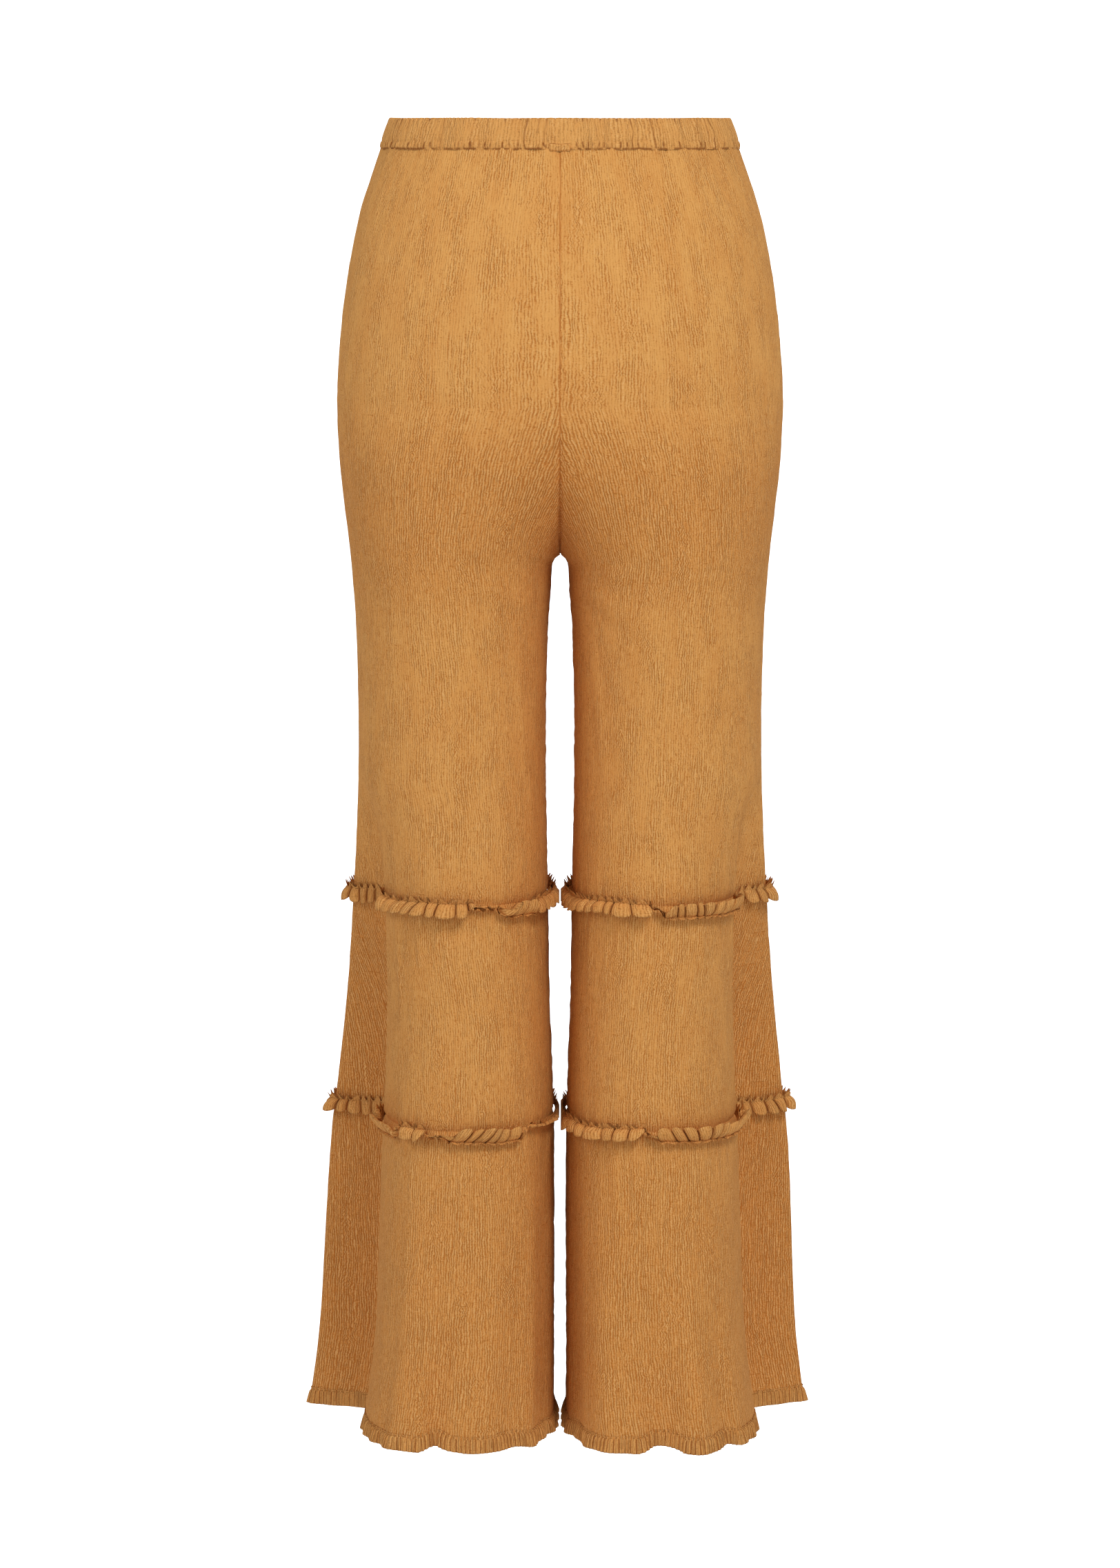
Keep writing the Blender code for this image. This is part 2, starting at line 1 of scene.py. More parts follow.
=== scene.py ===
# %% [markdown]
# # Flared trousers in crinkled cotton
#
# A pair of summer trousers, seen from the back and filled out as if worn: an elastic waist in a gathered
# casing, legs in three tiers with a narrow pleated frill in each seam, and a fine pleated frill for a hem.
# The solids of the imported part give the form. This script dresses them: every panel becomes a finely
# divided sheet of crinkled cloth, and every frill a strip with real pleats.

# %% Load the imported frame
import math
from bisect import bisect_right
from collections import namedtuple

import bmesh
import bpy
import numpy as np
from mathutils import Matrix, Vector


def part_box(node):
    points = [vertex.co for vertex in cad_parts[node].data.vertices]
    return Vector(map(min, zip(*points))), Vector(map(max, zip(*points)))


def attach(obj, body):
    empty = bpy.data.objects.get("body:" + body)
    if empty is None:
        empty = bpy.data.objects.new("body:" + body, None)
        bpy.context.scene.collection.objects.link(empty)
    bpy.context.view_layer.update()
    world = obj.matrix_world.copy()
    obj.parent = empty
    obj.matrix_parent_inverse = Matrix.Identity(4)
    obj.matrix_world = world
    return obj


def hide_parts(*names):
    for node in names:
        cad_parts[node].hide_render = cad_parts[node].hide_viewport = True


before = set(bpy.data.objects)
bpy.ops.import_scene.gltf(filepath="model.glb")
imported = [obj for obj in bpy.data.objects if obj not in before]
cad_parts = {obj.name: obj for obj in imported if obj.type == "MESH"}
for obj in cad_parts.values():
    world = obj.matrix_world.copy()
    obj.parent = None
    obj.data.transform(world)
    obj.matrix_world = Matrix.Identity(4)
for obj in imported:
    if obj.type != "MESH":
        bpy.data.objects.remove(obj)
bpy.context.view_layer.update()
MM = 0.001

# %% [markdown]
# ## Camera
#
# The camera stands straight behind the trousers, at the height of the waist, and looks down a little. A
# long lens keeps the outline nearly flat, as in a studio picture of clothes. The distance and the lens were
# worked out together from the outline's width at the waist and at the hem.

# %% Camera
CAMERA_DISTANCE = 4.3
CAMERA_HEIGHT = 12 * MM
CAMERA_DROP = 0.11742  # how far the view sinks for each metre forwards
CAMERA_LENS = 130.106
SENSOR = 36.0
CLIP_END = 60


def make_camera():
    data = bpy.data.cameras.new("camera")
    data.sensor_fit = "VERTICAL"
    data.sensor_height = SENSOR
    data.lens = CAMERA_LENS
    data.clip_end = CLIP_END
    made = bpy.data.objects.new("camera", data)
    made.location = (0, -CAMERA_DISTANCE, CAMERA_HEIGHT)
    made.rotation_euler = (math.pi / 2 - math.atan(CAMERA_DROP), 0, 0)
    bpy.context.scene.collection.objects.link(made)
    bpy.context.scene.camera = made
    return made


camera = make_camera()
print("camera at", tuple(camera.location), "lens", camera.data.lens)

# %% [markdown]
# ## Studio
#
# The picture has a plain white ground and soft light that comes mostly from the upper right. A pale floor
# runs up into a backdrop through a quarter circle, so that no horizon shows, and large area lights with a
# bright sky keep every shadow soft.

# %% Floor and backdrop
FLOOR_Z = -1.9
FLOOR_HALF_WIDTH = 9.0
FLOOR_FRONT = -9.0
SWEEP_START = 5.0
SWEEP_RADIUS = 2.5
BACKDROP_TOP = 9.0
SWEEP_STEPS = 12


def make_floor():
    bm = bmesh.new()
    line = [bm.verts.new((-FLOOR_HALF_WIDTH, FLOOR_FRONT, FLOOR_Z))]
    for i in range(SWEEP_STEPS + 1):
        turn = math.pi / 2 * i / SWEEP_STEPS
        y = SWEEP_START + SWEEP_RADIUS * math.sin(turn)
        z = FLOOR_Z + SWEEP_RADIUS * (1 - math.cos(turn))
        line.append(bm.verts.new((-FLOOR_HALF_WIDTH, y, z)))
    line.append(bm.verts.new((-FLOOR_HALF_WIDTH, SWEEP_START + SWEEP_RADIUS, BACKDROP_TOP)))
    edges = [bm.edges.new(pair) for pair in zip(line, line[1:])]
    swept = bmesh.ops.extrude_edge_only(bm, edges=edges)["geom"]
    moved = [part for part in swept if isinstance(part, bmesh.types.BMVert)]
    bmesh.ops.translate(bm, verts=moved, vec=(2 * FLOOR_HALF_WIDTH, 0, 0))
    mesh = bpy.data.meshes.new("floor")
    bm.to_mesh(mesh)
    bm.free()
    mesh.shade_smooth()
    floor = bpy.data.objects.new("floor", mesh)
    bpy.context.scene.collection.objects.link(floor)
    return floor


floor = make_floor()
print("floor at", FLOOR_Z)

# %% Node helpers


def add_node(tree, kind, **settings):
    node = tree.nodes.new(kind)
    for key, value in settings.items():
        setattr(node, key, value)
    return node


def set_inputs(node, values):
    for name, value in values.items():
        node.inputs[name].default_value = value


def maths(tree, operation, a, b=None, c=None, clamp=False):
    """A Math node. a, b and c are sockets or numbers."""
    node = add_node(tree, "ShaderNodeMath", operation=operation, use_clamp=clamp)
    for socket, value in zip(node.inputs, (a, b, c)):
        if value is None:
            continue
        if isinstance(value, (int, float)):
            socket.default_value = value
        else:
            tree.links.new(value, socket)
    return node.outputs[0]


def times(tree, a, b):
    return maths(tree, "MULTIPLY", a, b)


def add_times(tree, base, a, b):
    """base with a times b added."""
    return maths(tree, "MULTIPLY_ADD", a, b, base)


def noise_node(tree, x, y, scale_x, scale_y, detail=2.0, roughness=0.5):
    """A noise stretched by its two scales, in hills a metre."""
    combined = add_node(tree, "ShaderNodeCombineXYZ")
    tree.links.new(times(tree, x, scale_x), combined.inputs[0])
    tree.links.new(times(tree, y, scale_y), combined.inputs[1])
    node = add_node(tree, "ShaderNodeTexNoise", noise_dimensions="3D")
    set_inputs(node, {"Scale": 1.0, "Detail": detail, "Roughness": roughness})
    tree.links.new(combined.outputs[0], node.inputs["Vector"])
    return node.outputs["Fac"]


def ramp(tree, value, low, high):
    """0 below low and 1 above high, smooth in between."""
    node = add_node(tree, "ShaderNodeMapRange", interpolation_type="SMOOTHSTEP")
    set_inputs(node, {"From Min": low, "From Max": high})
    tree.links.new(value, node.inputs["Value"])
    return node.outputs["Result"]


def centred_noise(tree, x, y, scale_x, scale_y, detail=2.0):
    """The same noise, from about -0.5 to 0.5."""
    return maths(tree, "SUBTRACT", noise_node(tree, x, y, scale_x, scale_y, detail), 0.5)


print("node helpers ready")

# %% Floor finish and lights
PAPER_WHITE = 1.0
PAPER_COLOUR = (0.92, 0.92, 0.92, 1)
PAPER_ROUGHNESS = 0.9
SKY = 0.41
WHITE = (1, 1, 1, 1)
Lamp = namedtuple("Lamp", "name place aim size power")
LAMPS = [
    Lamp("key", (1.6, -3.0, 2.4), (0, 0, -0.35), 1.5, 73),
    Lamp("fill", (-3.3, -2.2, 1.6), (0, 0, -0.5), 2.2, 33),
    Lamp("rim", (0.5, 3.4, 2.0), (0, 0, -0.4), 2.2, 30),
]


def seen_only(tree):
    """A socket that is 1 for what the camera sees directly and 0 for light that bounces."""
    return add_node(tree, "ShaderNodeLightPath").outputs["Is Camera Ray"]


def paint_floor():
    material = bpy.data.materials.new("studio_paper")
    material.use_nodes = True
    shader = material.node_tree.nodes["Principled BSDF"]
    paper = {"Base Color": PAPER_COLOUR, "Roughness": PAPER_ROUGHNESS, "Emission Color": WHITE}
    set_inputs(shader, paper)
    material.node_tree.links.new(seen_only(material.node_tree), shader.inputs["Emission Strength"])
    floor.data.materials.append(material)


def light_studio():
    for lamp in LAMPS:
        data = bpy.data.lights.new(lamp.name, "AREA")
        data.shape = "DISK"
        data.size = lamp.size
        data.energy = lamp.power
        made = bpy.data.objects.new(lamp.name, data)
        made.location = lamp.place
        x, y, z = (aim - place for aim, place in zip(lamp.aim, lamp.place))
        made.rotation_euler = (math.atan2(math.hypot(x, y), -z), 0, math.atan2(y, x) - math.pi / 2)
        bpy.context.scene.collection.objects.link(made)
    world = bpy.data.worlds.new("sky")
    world.use_nodes = True
    tree = world.node_tree
    tree.nodes["Background"].inputs["Color"].default_value = WHITE
    strength = add_times(tree, SKY, seen_only(tree), PAPER_WHITE - SKY)
    tree.links.new(strength, tree.nodes["Background"].inputs["Strength"])
    bpy.context.scene.world = world
    bpy.context.scene.view_settings.view_transform = "Standard"


paint_floor()
light_studio()
print("lamps:", [lamp.name for lamp in LAMPS])

# %% [markdown]
# ## The surface the trousers are sewn on
#
# A pair of trousers is one surface cut into panels. Each panel could be pulled off its solid, but a solid
# has few faces and fine cloth needs many, so the surface is worked out again from the same short table of
# sizes as the part: at every height a half of a squared ellipse for the back and one for the front, with
# the deep fold down each outer side and the soft folds of the flared tiers.

# %% Sizes of the legs
WAIST_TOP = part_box("waistband")[1][2]
BAND_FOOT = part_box("waistband")[0][2]
SEAM_GAP = 0.3 * MM
KNEE_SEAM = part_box("middle_back_left")[1][2] + SEAM_GAP / 2
SHIN_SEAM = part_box("lower_back_left")[1][2] + SEAM_GAP / 2
HEM_SEAM = -977 * MM
HEM_EDGE = -988 * MM
CROTCH_Z = -316.5 * MM
BACK_CURVE_TOP = -200 * MM
FRONT_CURVE_TOP = -215 * MM
CROTCH_CURVE = 2.2
ARCH_HEIGHT = 9 * MM
ARCH_REACH = math.radians(110)
GAP_BLEND = 70 * MM
SIDE_RADIUS = 75 * MM
WAIST_SQUARENESS = 2.2
HEM_SQUARENESS = 2.75
TUCK = 8 * MM
TUCK_BACK_REACH = math.radians(11)
TUCK_FRONT_REACH = math.radians(16)
FULL_LOBE = 30 * MM
HEM_LIFT = 0.55

# In millimetres: height, half the outline's width, depth behind and in front, how far back the side seam
# lies, half the space between the legs, and the side fold's place and how far it shows past the back.
Size = namedtuple("Size", "z half_width back front centre inner crease lobe")
SIZES = [
    Size(12.5, 127.5, 88, 84, -2, 0, -42, 0),
    Size(-12.5, 135.5, 92, 88, -3, 0, -42, 0),
    Size(-54, 149.5, 104, 95, -6, 0, -42, 0),
    Size(-85, 156.5, 112, 99, -7, 0, -42, 0),
    Size(-116, 161.8, 119, 102, -8, 0, -42, 0),
    Size(-148, 165.5, 124, 104, -8, 0, -42, 0),
    Size(-195, 168.5, 127, 105, -8, 0, -42, 0),
    Size(-242, 167.0, 122, 104, -7, 0, -42, 0),
    Size(-273, 163.8, 116, 102, -6, 0, -42, 0),
    Size(-316.5, 158.8, 109, 100, -5, 5.4, -42, 0),
    Size(-340, 156.8, 106, 99, -5, 6.9, -42, 0),
    Size(-368, 155.0, 104, 98, -4, 9.0, -42, 0),
    Size(-431, 153.4, 101, 96, -4, 10.8, -42, 0),
    Size(-480, 153.7, 99.5, 95, -3, 10.8, -37, 0),
    Size(-520, 154.9, 99, 95, -2, 10.4, -30, 10),
    Size(-576, 158.0, 99, 97, -1, 9.2, -20, 20),
    Size(-654, 164.0, 101, 101, 0, 8.0, -8, 30),
    Size(-719, 170.8, 103, 106, 2, 5.8, -1, 36),
    Size(-783, 177.5, 105, 111, 3, 4.7, 3, 40),
    Size(-848, 181.0, 107, 115, 4, 4.5, 5, 41.5),
    Size(-913, 184.8, 109, 120, 5, 4.8, 6, 42.5),
    Size(-945, 188.0, 111, 123, 5, 4.8, 6, 42),
    Size(-988, 194.0, 114, 127, 6, 4.6, 6, 42),
]

# The flare's soft folds. around is the place on the leg in degrees: 0 is the outer side, -90 the back, 90
# the front and 180 the inseam. width is in degrees, depth outwards and the heights in millimetres.
Fold = namedtuple("Fold", "around width depth top foot")
FOLDS = {
    "left": [
        (-150, 17, -3.0, -640, -960), (-118, 18, -4.0, -760, -975), (-82, 10, -8.0, -820, -985),
        (-58, 13, 3.0, -720, -980), (24, 20, 2.5, -640, -900), (64, 16, -8.0, -640, -980),
        (92, 15, 6.0, -600, -960), (122, 14, -7.0, -700, -985), (152, 14, 3.0, -780, -985),
    ],
    "right": [
        (-150, 14, -3.0, -700, -980), (-119, 18, 4.0, -720, -985), (-90, 10, -8.0, -860, -985),
        (-74, 10, 4.5, -800, -985), (-54, 12, -5.0, -840, -985), (24, 20, -2.5, -800, -990),
        (60, 14, -6.0, -680, -985), (86, 15, 6.0, -620, -970), (114, 15, -8.0, -660, -985),
        (146, 15, 3.5, -740, -985),
    ],
}
print("seams at", [round(z, 4) for z in (BAND_FOOT, KNEE_SEAM, SHIN_SEAM, HEM_SEAM)])

# %% Smooth steps and bumps


def smooth_ramp(value, start, end):
    """0 at start and 1 at end, with no corner at either."""
    t = np.clip((value - start) / (end - start), 0, 1)
    return t * t * (3 - 2 * t)


def bump(distance, reach):
    """1 at no distance and 0 at reach, with no corner."""
    t = np.minimum(np.abs(distance) / reach, 1)
    return (1 - t * t) ** 2


def signed_power(value, power):
    return np.sign(value) * np.abs(value) ** power


print("half way up a ramp:", smooth_ramp(0.5, 0, 1))

# %% Sections at any height


def size_at(z):
    """The row of SIZES at height z, in metres, on a smooth curve through the table's rows."""
    heights = [-row.z for row in SIZES]
    at = min(max(-z / MM, heights[0]), heights[-1])
    i = min(max(bisect_right(heights, at) - 1, 0), len(SIZES) - 2)
    span = heights[i + 1] - heights[i]
    t = (at - heights[i]) / span

    def slope(j, column):
        low, high = max(j - 1, 0), min(j + 1, len(SIZES) - 1)
        return (SIZES[high][column] - SIZES[low][column]) / (heights[high] - heights[low])

    values = []
    for column in range(1, len(Size._fields)):
        a, b = SIZES[i][column], SIZES[i + 1][column]
        m_a, m_b = slope(i, column) * span, slope(i + 1, column) * span
        if a == b:
            m_a = m_b = 0
        cubic = a * (1 + 2 * t) * (1 - t) ** 2 + m_a * t * (1 - t) ** 2
        cubic += b * t * t * (3 - 2 * t) + m_b * t * t * (t - 1)
        values.append(cubic * MM)
    return Size(z, *values)


def squareness(z):
    return WAIST_SQUARENESS + (HEM_SQUARENESS - WAIST_SQUARENESS) * smooth_ramp(z, KNEE_SEAM, HEM_SEAM)


def fold_depth(leg, around, z):
    """How far the leg's folds move points out, in metres."""
    total = np.zeros_like(around)
    for fold in (Fold(*row) for row in FOLDS[leg]):
        strength = smooth_ramp(z, fold.top * MM, fold.foot * MM)
        total += fold.depth * MM * strength * bump(np.degrees(around) - fold.around, fold.width)
    return total


def seam_start(face, z, outer):
    """The half-width and middle of a face's arc, and the angle of its inner edge."""
    if z > CROTCH_Z:
        top = BACK_CURVE_TOP if face == "back" else FRONT_CURVE_TOP
        down = min(max((top - z) / (top - CROTCH_Z), 0), 1)
        kept = math.sqrt(1 - down**CROTCH_CURVE)
        sine = kept ** (squareness(z) / 2)
        cosine = math.sqrt(max(1 - sine * sine, 0))
        past = cosine ** (2 / squareness(z))
        half = outer / (1 + past)
        return half, half * past, math.pi - math.asin(sine)
    inner = size_at(z).inner * smooth_ramp(z, CROTCH_Z, CROTCH_Z - GAP_BLEND)
    return (outer - inner) / 2, (outer + inner) / 2, math.pi


def arch_shift(z, angle):
    """How far the round arch under the crotch moves points away from the other leg."""
    if z > CROTCH_Z:
        return 0
    under = min((CROTCH_Z - z) / ARCH_HEIGHT, 1)
    arch = math.sqrt(1 - (1 - under) ** 2) - smooth_ramp(z, CROTCH_Z, CROTCH_Z - GAP_BLEND)
    return size_at(z).inner * arch * smooth_ramp(np.abs(angle), ARCH_REACH, math.pi)


SECTION_STEPS = 240


def section(face, leg, z):
    """x, y and angle of points along one face of a leg, from its inner edge to the side seam, for x > 0."""
    size = size_at(z)
    side = -1 if face == "back" else 1
    reach = size.back + size.centre if face == "back" else size.front - size.centre
    power = 2 / squareness(z)
    half, middle, start = seam_start(face, z, size.half_width - size.lobe)
    grown = min(size.lobe / FULL_LOBE, 1)
    crease = size.crease / SIDE_RADIUS
    crest = math.cos(max(crease + TUCK_FRONT_REACH, 0)) ** power
    inner_end = middle - half
    lobe_half = (size.half_width - inner_end) / (2 + grown * (crest - 1))
    lobe_middle = inner_end + lobe_half
    tuck = TUCK * grown
    pull = lobe_middle - middle + (lobe_half - half) * math.cos(crease) ** power + tuck
    angle = side * start * (1 - np.linspace(0, 1, SECTION_STEPS + 1))
    across = signed_power(np.cos(angle), power)
    behind = middle + half * across - tuck * bump(angle - crease, TUCK_BACK_REACH)
    before = lobe_middle + lobe_half * across - pull * bump(angle - crease, TUCK_FRONT_REACH)
    x = np.where(angle < crease, behind, before) + arch_shift(z, angle)
    y = size.centre + reach * signed_power(np.sin(angle), power)
    along_x, along_y = np.gradient(x), np.gradient(y)
    length = np.hypot(along_x, along_y)
    out = fold_depth(leg, angle, z)
    return x - side * out * along_y / length, y + side * out * along_x / length, angle


HIP_LINE = -195 * MM
hip = section("back", "right", HIP_LINE)
print("half width at the hips:", round(float(hip[0].max()), 4))

# %% Lines round the body


def half_ring(leg, z):
    """x, y and angle of points round one leg, from its inner edge over the back, the side and the front."""
    back, front = section("back", leg, z), section("front", leg, z)
    return [np.concatenate([behind, before[::-1][1:]]) for behind, before in zip(back, front)]


def run_along(x, y):
    """How far each point of a line lies from its start."""
    return np.concatenate([[0], np.cumsum(np.hypot(np.diff(x), np.diff(y)))])


def directions(x, y):
    """The unit directions outwards and ahead at each point of a closed line."""
    ahead = np.stack([np.roll(values[:-1], -1) - np.roll(values[:-1], 1) for values in (x, y)], axis=1)
    ahead = np.vstack([ahead, ahead[:1]])
    ahead /= np.linalg.norm(ahead, axis=1, keepdims=True)
    return np.stack([ahead[:, 1], -ahead[:, 0]], axis=1), ahead


hips = 2 * run_along(*half_ring("right", HIP_LINE)[:2])[-1]
print("round the hips:", round(float(hips), 3), "m")

# %% [markdown]
# ## Random but repeatable hills
#
# Crinkles, gathers and pleats are never even, so they need a random pattern that comes out the same every
# time. This small noise function looks heights up in one seeded table and runs smoothly between them. Its
# hills are one unit apart, so dividing a distance by a length in metres gives hills of that length.

# %% Noise
HILL_COUNT = 256
HILLS = np.random.default_rng(20).uniform(-1, 1, (HILL_COUNT, HILL_COUNT))


def noise(x, y, seed):
    """Smooth random hills from -1 to 1, one for each unit of x and y."""
    x, y = np.broadcast_arrays(np.asarray(x, float) + 17.3 * seed, np.asarray(y, float) + 5.7 * seed)
    x0, y0 = np.floor(x).astype(int), np.floor(y).astype(int)
    tx, ty = x - x0, y - y0
    tx, ty = tx * tx * (3 - 2 * tx), ty * ty * (3 - 2 * ty)
    left, right = x0 % HILL_COUNT, (x0 + 1) % HILL_COUNT
    rows = y0 % HILL_COUNT, (y0 + 1) % HILL_COUNT
    top, foot = (HILLS[left, row] * (1 - tx) + HILLS[right, row] * tx for row in rows)
    return top * (1 - ty) + foot * ty


def hills(line, length, seed):
    """Random hills along one line, each of them length millimetres long."""
    return noise(line / (length * MM), 0, seed)


print("noise runs from", round(HILLS.min(), 2), "to", round(HILLS.max(), 2))

# %% [markdown]
# ## From a grid to a sheet of cloth
#
# Blender's grid operator makes a flat sheet with as many columns and rows as wanted. A sheet of cloth is
# that grid with each of its vertices put in its place on the garment. The grid's UV map keeps where each
# point lay in the uncut cloth, in metres, so that the weave follows the thread wherever the cloth goes. A
# second map holds how far a point is from the seams, for the dark line of a seam and its puckers, and from
# the folds between pleats and gathers, for painted shade there. An attribute says how closely the crinkles
# lie, from 0 where the cloth is drawn flat to 1, and it also paints shade: where it is high the colour is
# painted deeper.

# %% Grid sheets


def sheet_object(name, points, cloth, seams_and_shade, packed_and_shade, material, closed=False):
    """A mesh object from a grid of points, with its maps. The attribute of packed crinkles and painted shade
    is one value or a grid.
    """
    rows, columns = points.shape[:2]
    bm = bmesh.new()
    bmesh.ops.create_grid(bm, x_segments=columns - 1, y_segments=rows - 1, size=1)
    bm.verts.ensure_lookup_table()
    flat = points.reshape(-1, 3)
    for vert, place in zip(bm.verts, flat.tolist()):
        vert.co = place
    mesh = bpy.data.meshes.new(name)
    bm.to_mesh(mesh)
    bm.free()
    # The attribute of packed crinkles, which also paints shade in the finish.
    packed_and_shade_layer = mesh.attributes.new("packed_and_shade", "FLOAT", "POINT")
    packed_and_shade_layer.data.foreach_set("value", np.broadcast_to(packed_and_shade, (rows, columns)).astype(np.float32).ravel())
    corner = np.empty(len(mesh.loops), int)
    mesh.loops.foreach_get("vertex_index", corner)
    # The second map holds distances for seams' own dark lines and for painted shade between pleats and
    # gathers.
    for layer, values in (("cloth", cloth), ("seams_and_shade", seams_and_shade)):
        uv = mesh.uv_layers.new(name=layer)
        uv.uv.foreach_set("vector", values.reshape(-1, 2)[corner].astype(np.float32).ravel())
    if closed:
        bm = bmesh.new()
        bm.from_mesh(mesh)
        bmesh.ops.remove_doubles(bm, verts=bm.verts, dist=0.01 * MM)
        bm.to_mesh(mesh)
        bm.free()
    mesh.shade_smooth()
    mesh.materials.append(material)
    made = bpy.data.objects.new(name, mesh)
    bpy.context.scene.collection.objects.link(made)
    return made


def grid_normals(points, outward_sign):
    """The unit direction square to the surface at each point of a grid."""
    across = np.gradient(points, axis=1)
    down = np.gradient(points, axis=0)
    normal = np.cross(across, down) * outward_sign
    return normal / np.maximum(np.linalg.norm(normal, axis=2, keepdims=True), 1e-12)


print("sheets are built by", sheet_object.__name__)

# %% [markdown]
# ## Finishes
#
# The cloth is a cotton that was woven smooth and then shrunk into fine crinkles, which run down the leg
# like the bark of a tree: about two millimetres apart, never straight, and with a zigzag where the cloth
# was creased across. They are too fine to model, so a shader node group makes them, once, and each finish
# uses it with its own values. The group bends the cloth's own coordinates with noise and runs a sine wave
# across them, so the ridges lie side by side, then adds fine hairs, grain and short creases across. It gives
# back a height for the bump, a mask of the hollows for painted shade, a mask of the crests for a painted
# highlight, and a slow change of tone. Where the attribute of packed crinkles and painted shade is high, the
# ridges are stronger and the colour is painted deeper and redder, as shade.

# %% The crinkle group
# Scales of noise are hills a metre, across the thread and along it. The bends are in metres. ZIG_TURNS and
# ZIG_UNEVEN say how often the zigzags turn, and RIDGE_DRIFT how far the ridges wander. FINE is the strength
# of hairs and grain beside the ridges, the reliefs add up to the crinkles' strength, and the cuts are the
# depth of the short creases across.
ZIG_TURNS = 1350.0
ZIG_UNEVEN = 26.0
ZIG_BEND = 0.0004
SLOW_BEND = 0.005
JITTER_BEND = 0.0018
RIDGE_DRIFT = 9.0
FINE = 3.0
PATCH_RELIEF = 0.17
LEAST_RELIEF = 0.145
PACKED_RELIEF = 0.16
CREASE_CUT = -0.16
PACKED_CUT = -0.24
STREAK_TONE = 0.3
# The second output is a mask for painted shade in the crinkles' hollows, the third for a painted highlight on
# their crests.
OUTPUTS = ("Height", "Hollow", "Crest_highlight", "Tone")


def make_crinkle_group():
    """Crinkles from cloth coordinates in metres: Height 0 to 1, a mask of hollows for painted shade, a mask
    of crests for a painted highlight, and Tone.
    """
    tree = bpy.data.node_groups.new("crinkle", "ShaderNodeTree")
    face = tree.interface
    face.new_socket("Cloth", in_out="INPUT", socket_type="NodeSocketVector")
    for name in ("Across", "Along", "Zigzag", "Packed"):
        face.new_socket(name, in_out="INPUT", socket_type="NodeSocketFloat")
    for name in OUTPUTS:
        face.new_socket(name, in_out="OUTPUT", socket_type="NodeSocketFloat")
    given = add_node(tree, "NodeGroupInput")
    result = add_node(tree, "NodeGroupOutput")
    packed_and_shade = given.outputs["Packed"]
    split = add_node(tree, "ShaderNodeSeparateXYZ")
    tree.links.new(given.outputs["Cloth"], split.inputs[0])
    u, v = split.outputs[0], split.outputs[1]
    turns = add_times(tree, times(tree, centred_noise(tree, u, v, 90, 60), ZIG_UNEVEN), v, ZIG_TURNS)
    zigs = ramp(tree, noise_node(tree, u, v, 48, 20, detail=1), 0.53, 0.70)
    zig = times(tree, times(tree, maths(tree, "SINE", turns), zigs), given.outputs["Zigzag"])
    bent = add_times(tree, u, centred_noise(tree, u, v, 220, 200), JITTER_BEND)
    bent = add_times(tree, bent, centred_noise(tree, u, v, 14, 16, detail=1), SLOW_BEND)
    bent = add_times(tree, bent, zig, ZIG_BEND)
    drift = centred_noise(tree, bent, v, 300, given.outputs["Along"], detail=1)
    phase = add_times(tree, times(tree, bent, given.outputs["Across"]), drift, RIDGE_DRIFT)
    fine = times(tree, centred_noise(tree, bent, v, 1500, 180, detail=1), FINE)
    fine = add_times(tree, fine, centred_noise(tree, u, v, 800, 900, detail=1), FINE)
    patch = ramp(tree, noise_node(tree, u, v, 75, 26), 0.34, 0.72)
    strong = add_times(tree, add_times(tree, LEAST_RELIEF, patch, PATCH_RELIEF), packed_and_shade, PACKED_RELIEF)
    ridges = maths(tree, "ADD", maths(tree, "SINE", phase), fine)
    height = maths(tree, "MULTIPLY_ADD", ridges, strong, 0.5, clamp=True)
    creases = ramp(tree, noise_node(tree, bent, v, 150, 480), 0.60, 0.74)
    cut = add_times(tree, CREASE_CUT, packed_and_shade, PACKED_CUT)
    height = maths(tree, "MULTIPLY_ADD", creases, cut, height, clamp=True)
    # Mask of the crinkles' hollows, where shade is painted.
    hollow = maths(tree, "SUBTRACT", 1.0, ramp(tree, height, 0.14, 0.48))
    streaks = centred_noise(tree, bent, v, 170, 6, detail=1)
    tone = noise_node(tree, u, v, 46, 20, detail=3, roughness=0.6)
    tone = add_times(tree, tone, streaks, STREAK_TONE)
    # The third output, from the top of the height, is where a painted highlight goes on the crests.
    for name, value in zip(OUTPUTS, (height, hollow, ramp(tree, height, 0.58, 0.86), tone)):
        tree.links.new(value, result.inputs[name])
    return tree


crinkle_group = make_crinkle_group()
print("group", crinkle_group.name, "with", len(crinkle_group.nodes), "nodes")

# %% Cloth finishes
# The first colour and its share are a painted highlight on the crinkles' crests.
CREST_HIGHLIGHT = (0.95, 0.56, 0.22)
CREST_HIGHLIGHT_SHARE = 0.5
# The dark lines from the second UV map: a seam's own dark line on the panels, painted shade between pleats
# and gathers on the frills and the casing.
SEAM_AND_SHADE_LINE = (0.1 * MM, 0.8 * MM)
SEAM_AND_SHADE_LINE_SHARE = 0.8
TONE_RAMP = (0.36, 0.66)
CRINKLE_HEIGHT = 0.8 * MM
CLOTH_ROUGHNESS = 0.92
CLOTH_GLOSS = 0.12

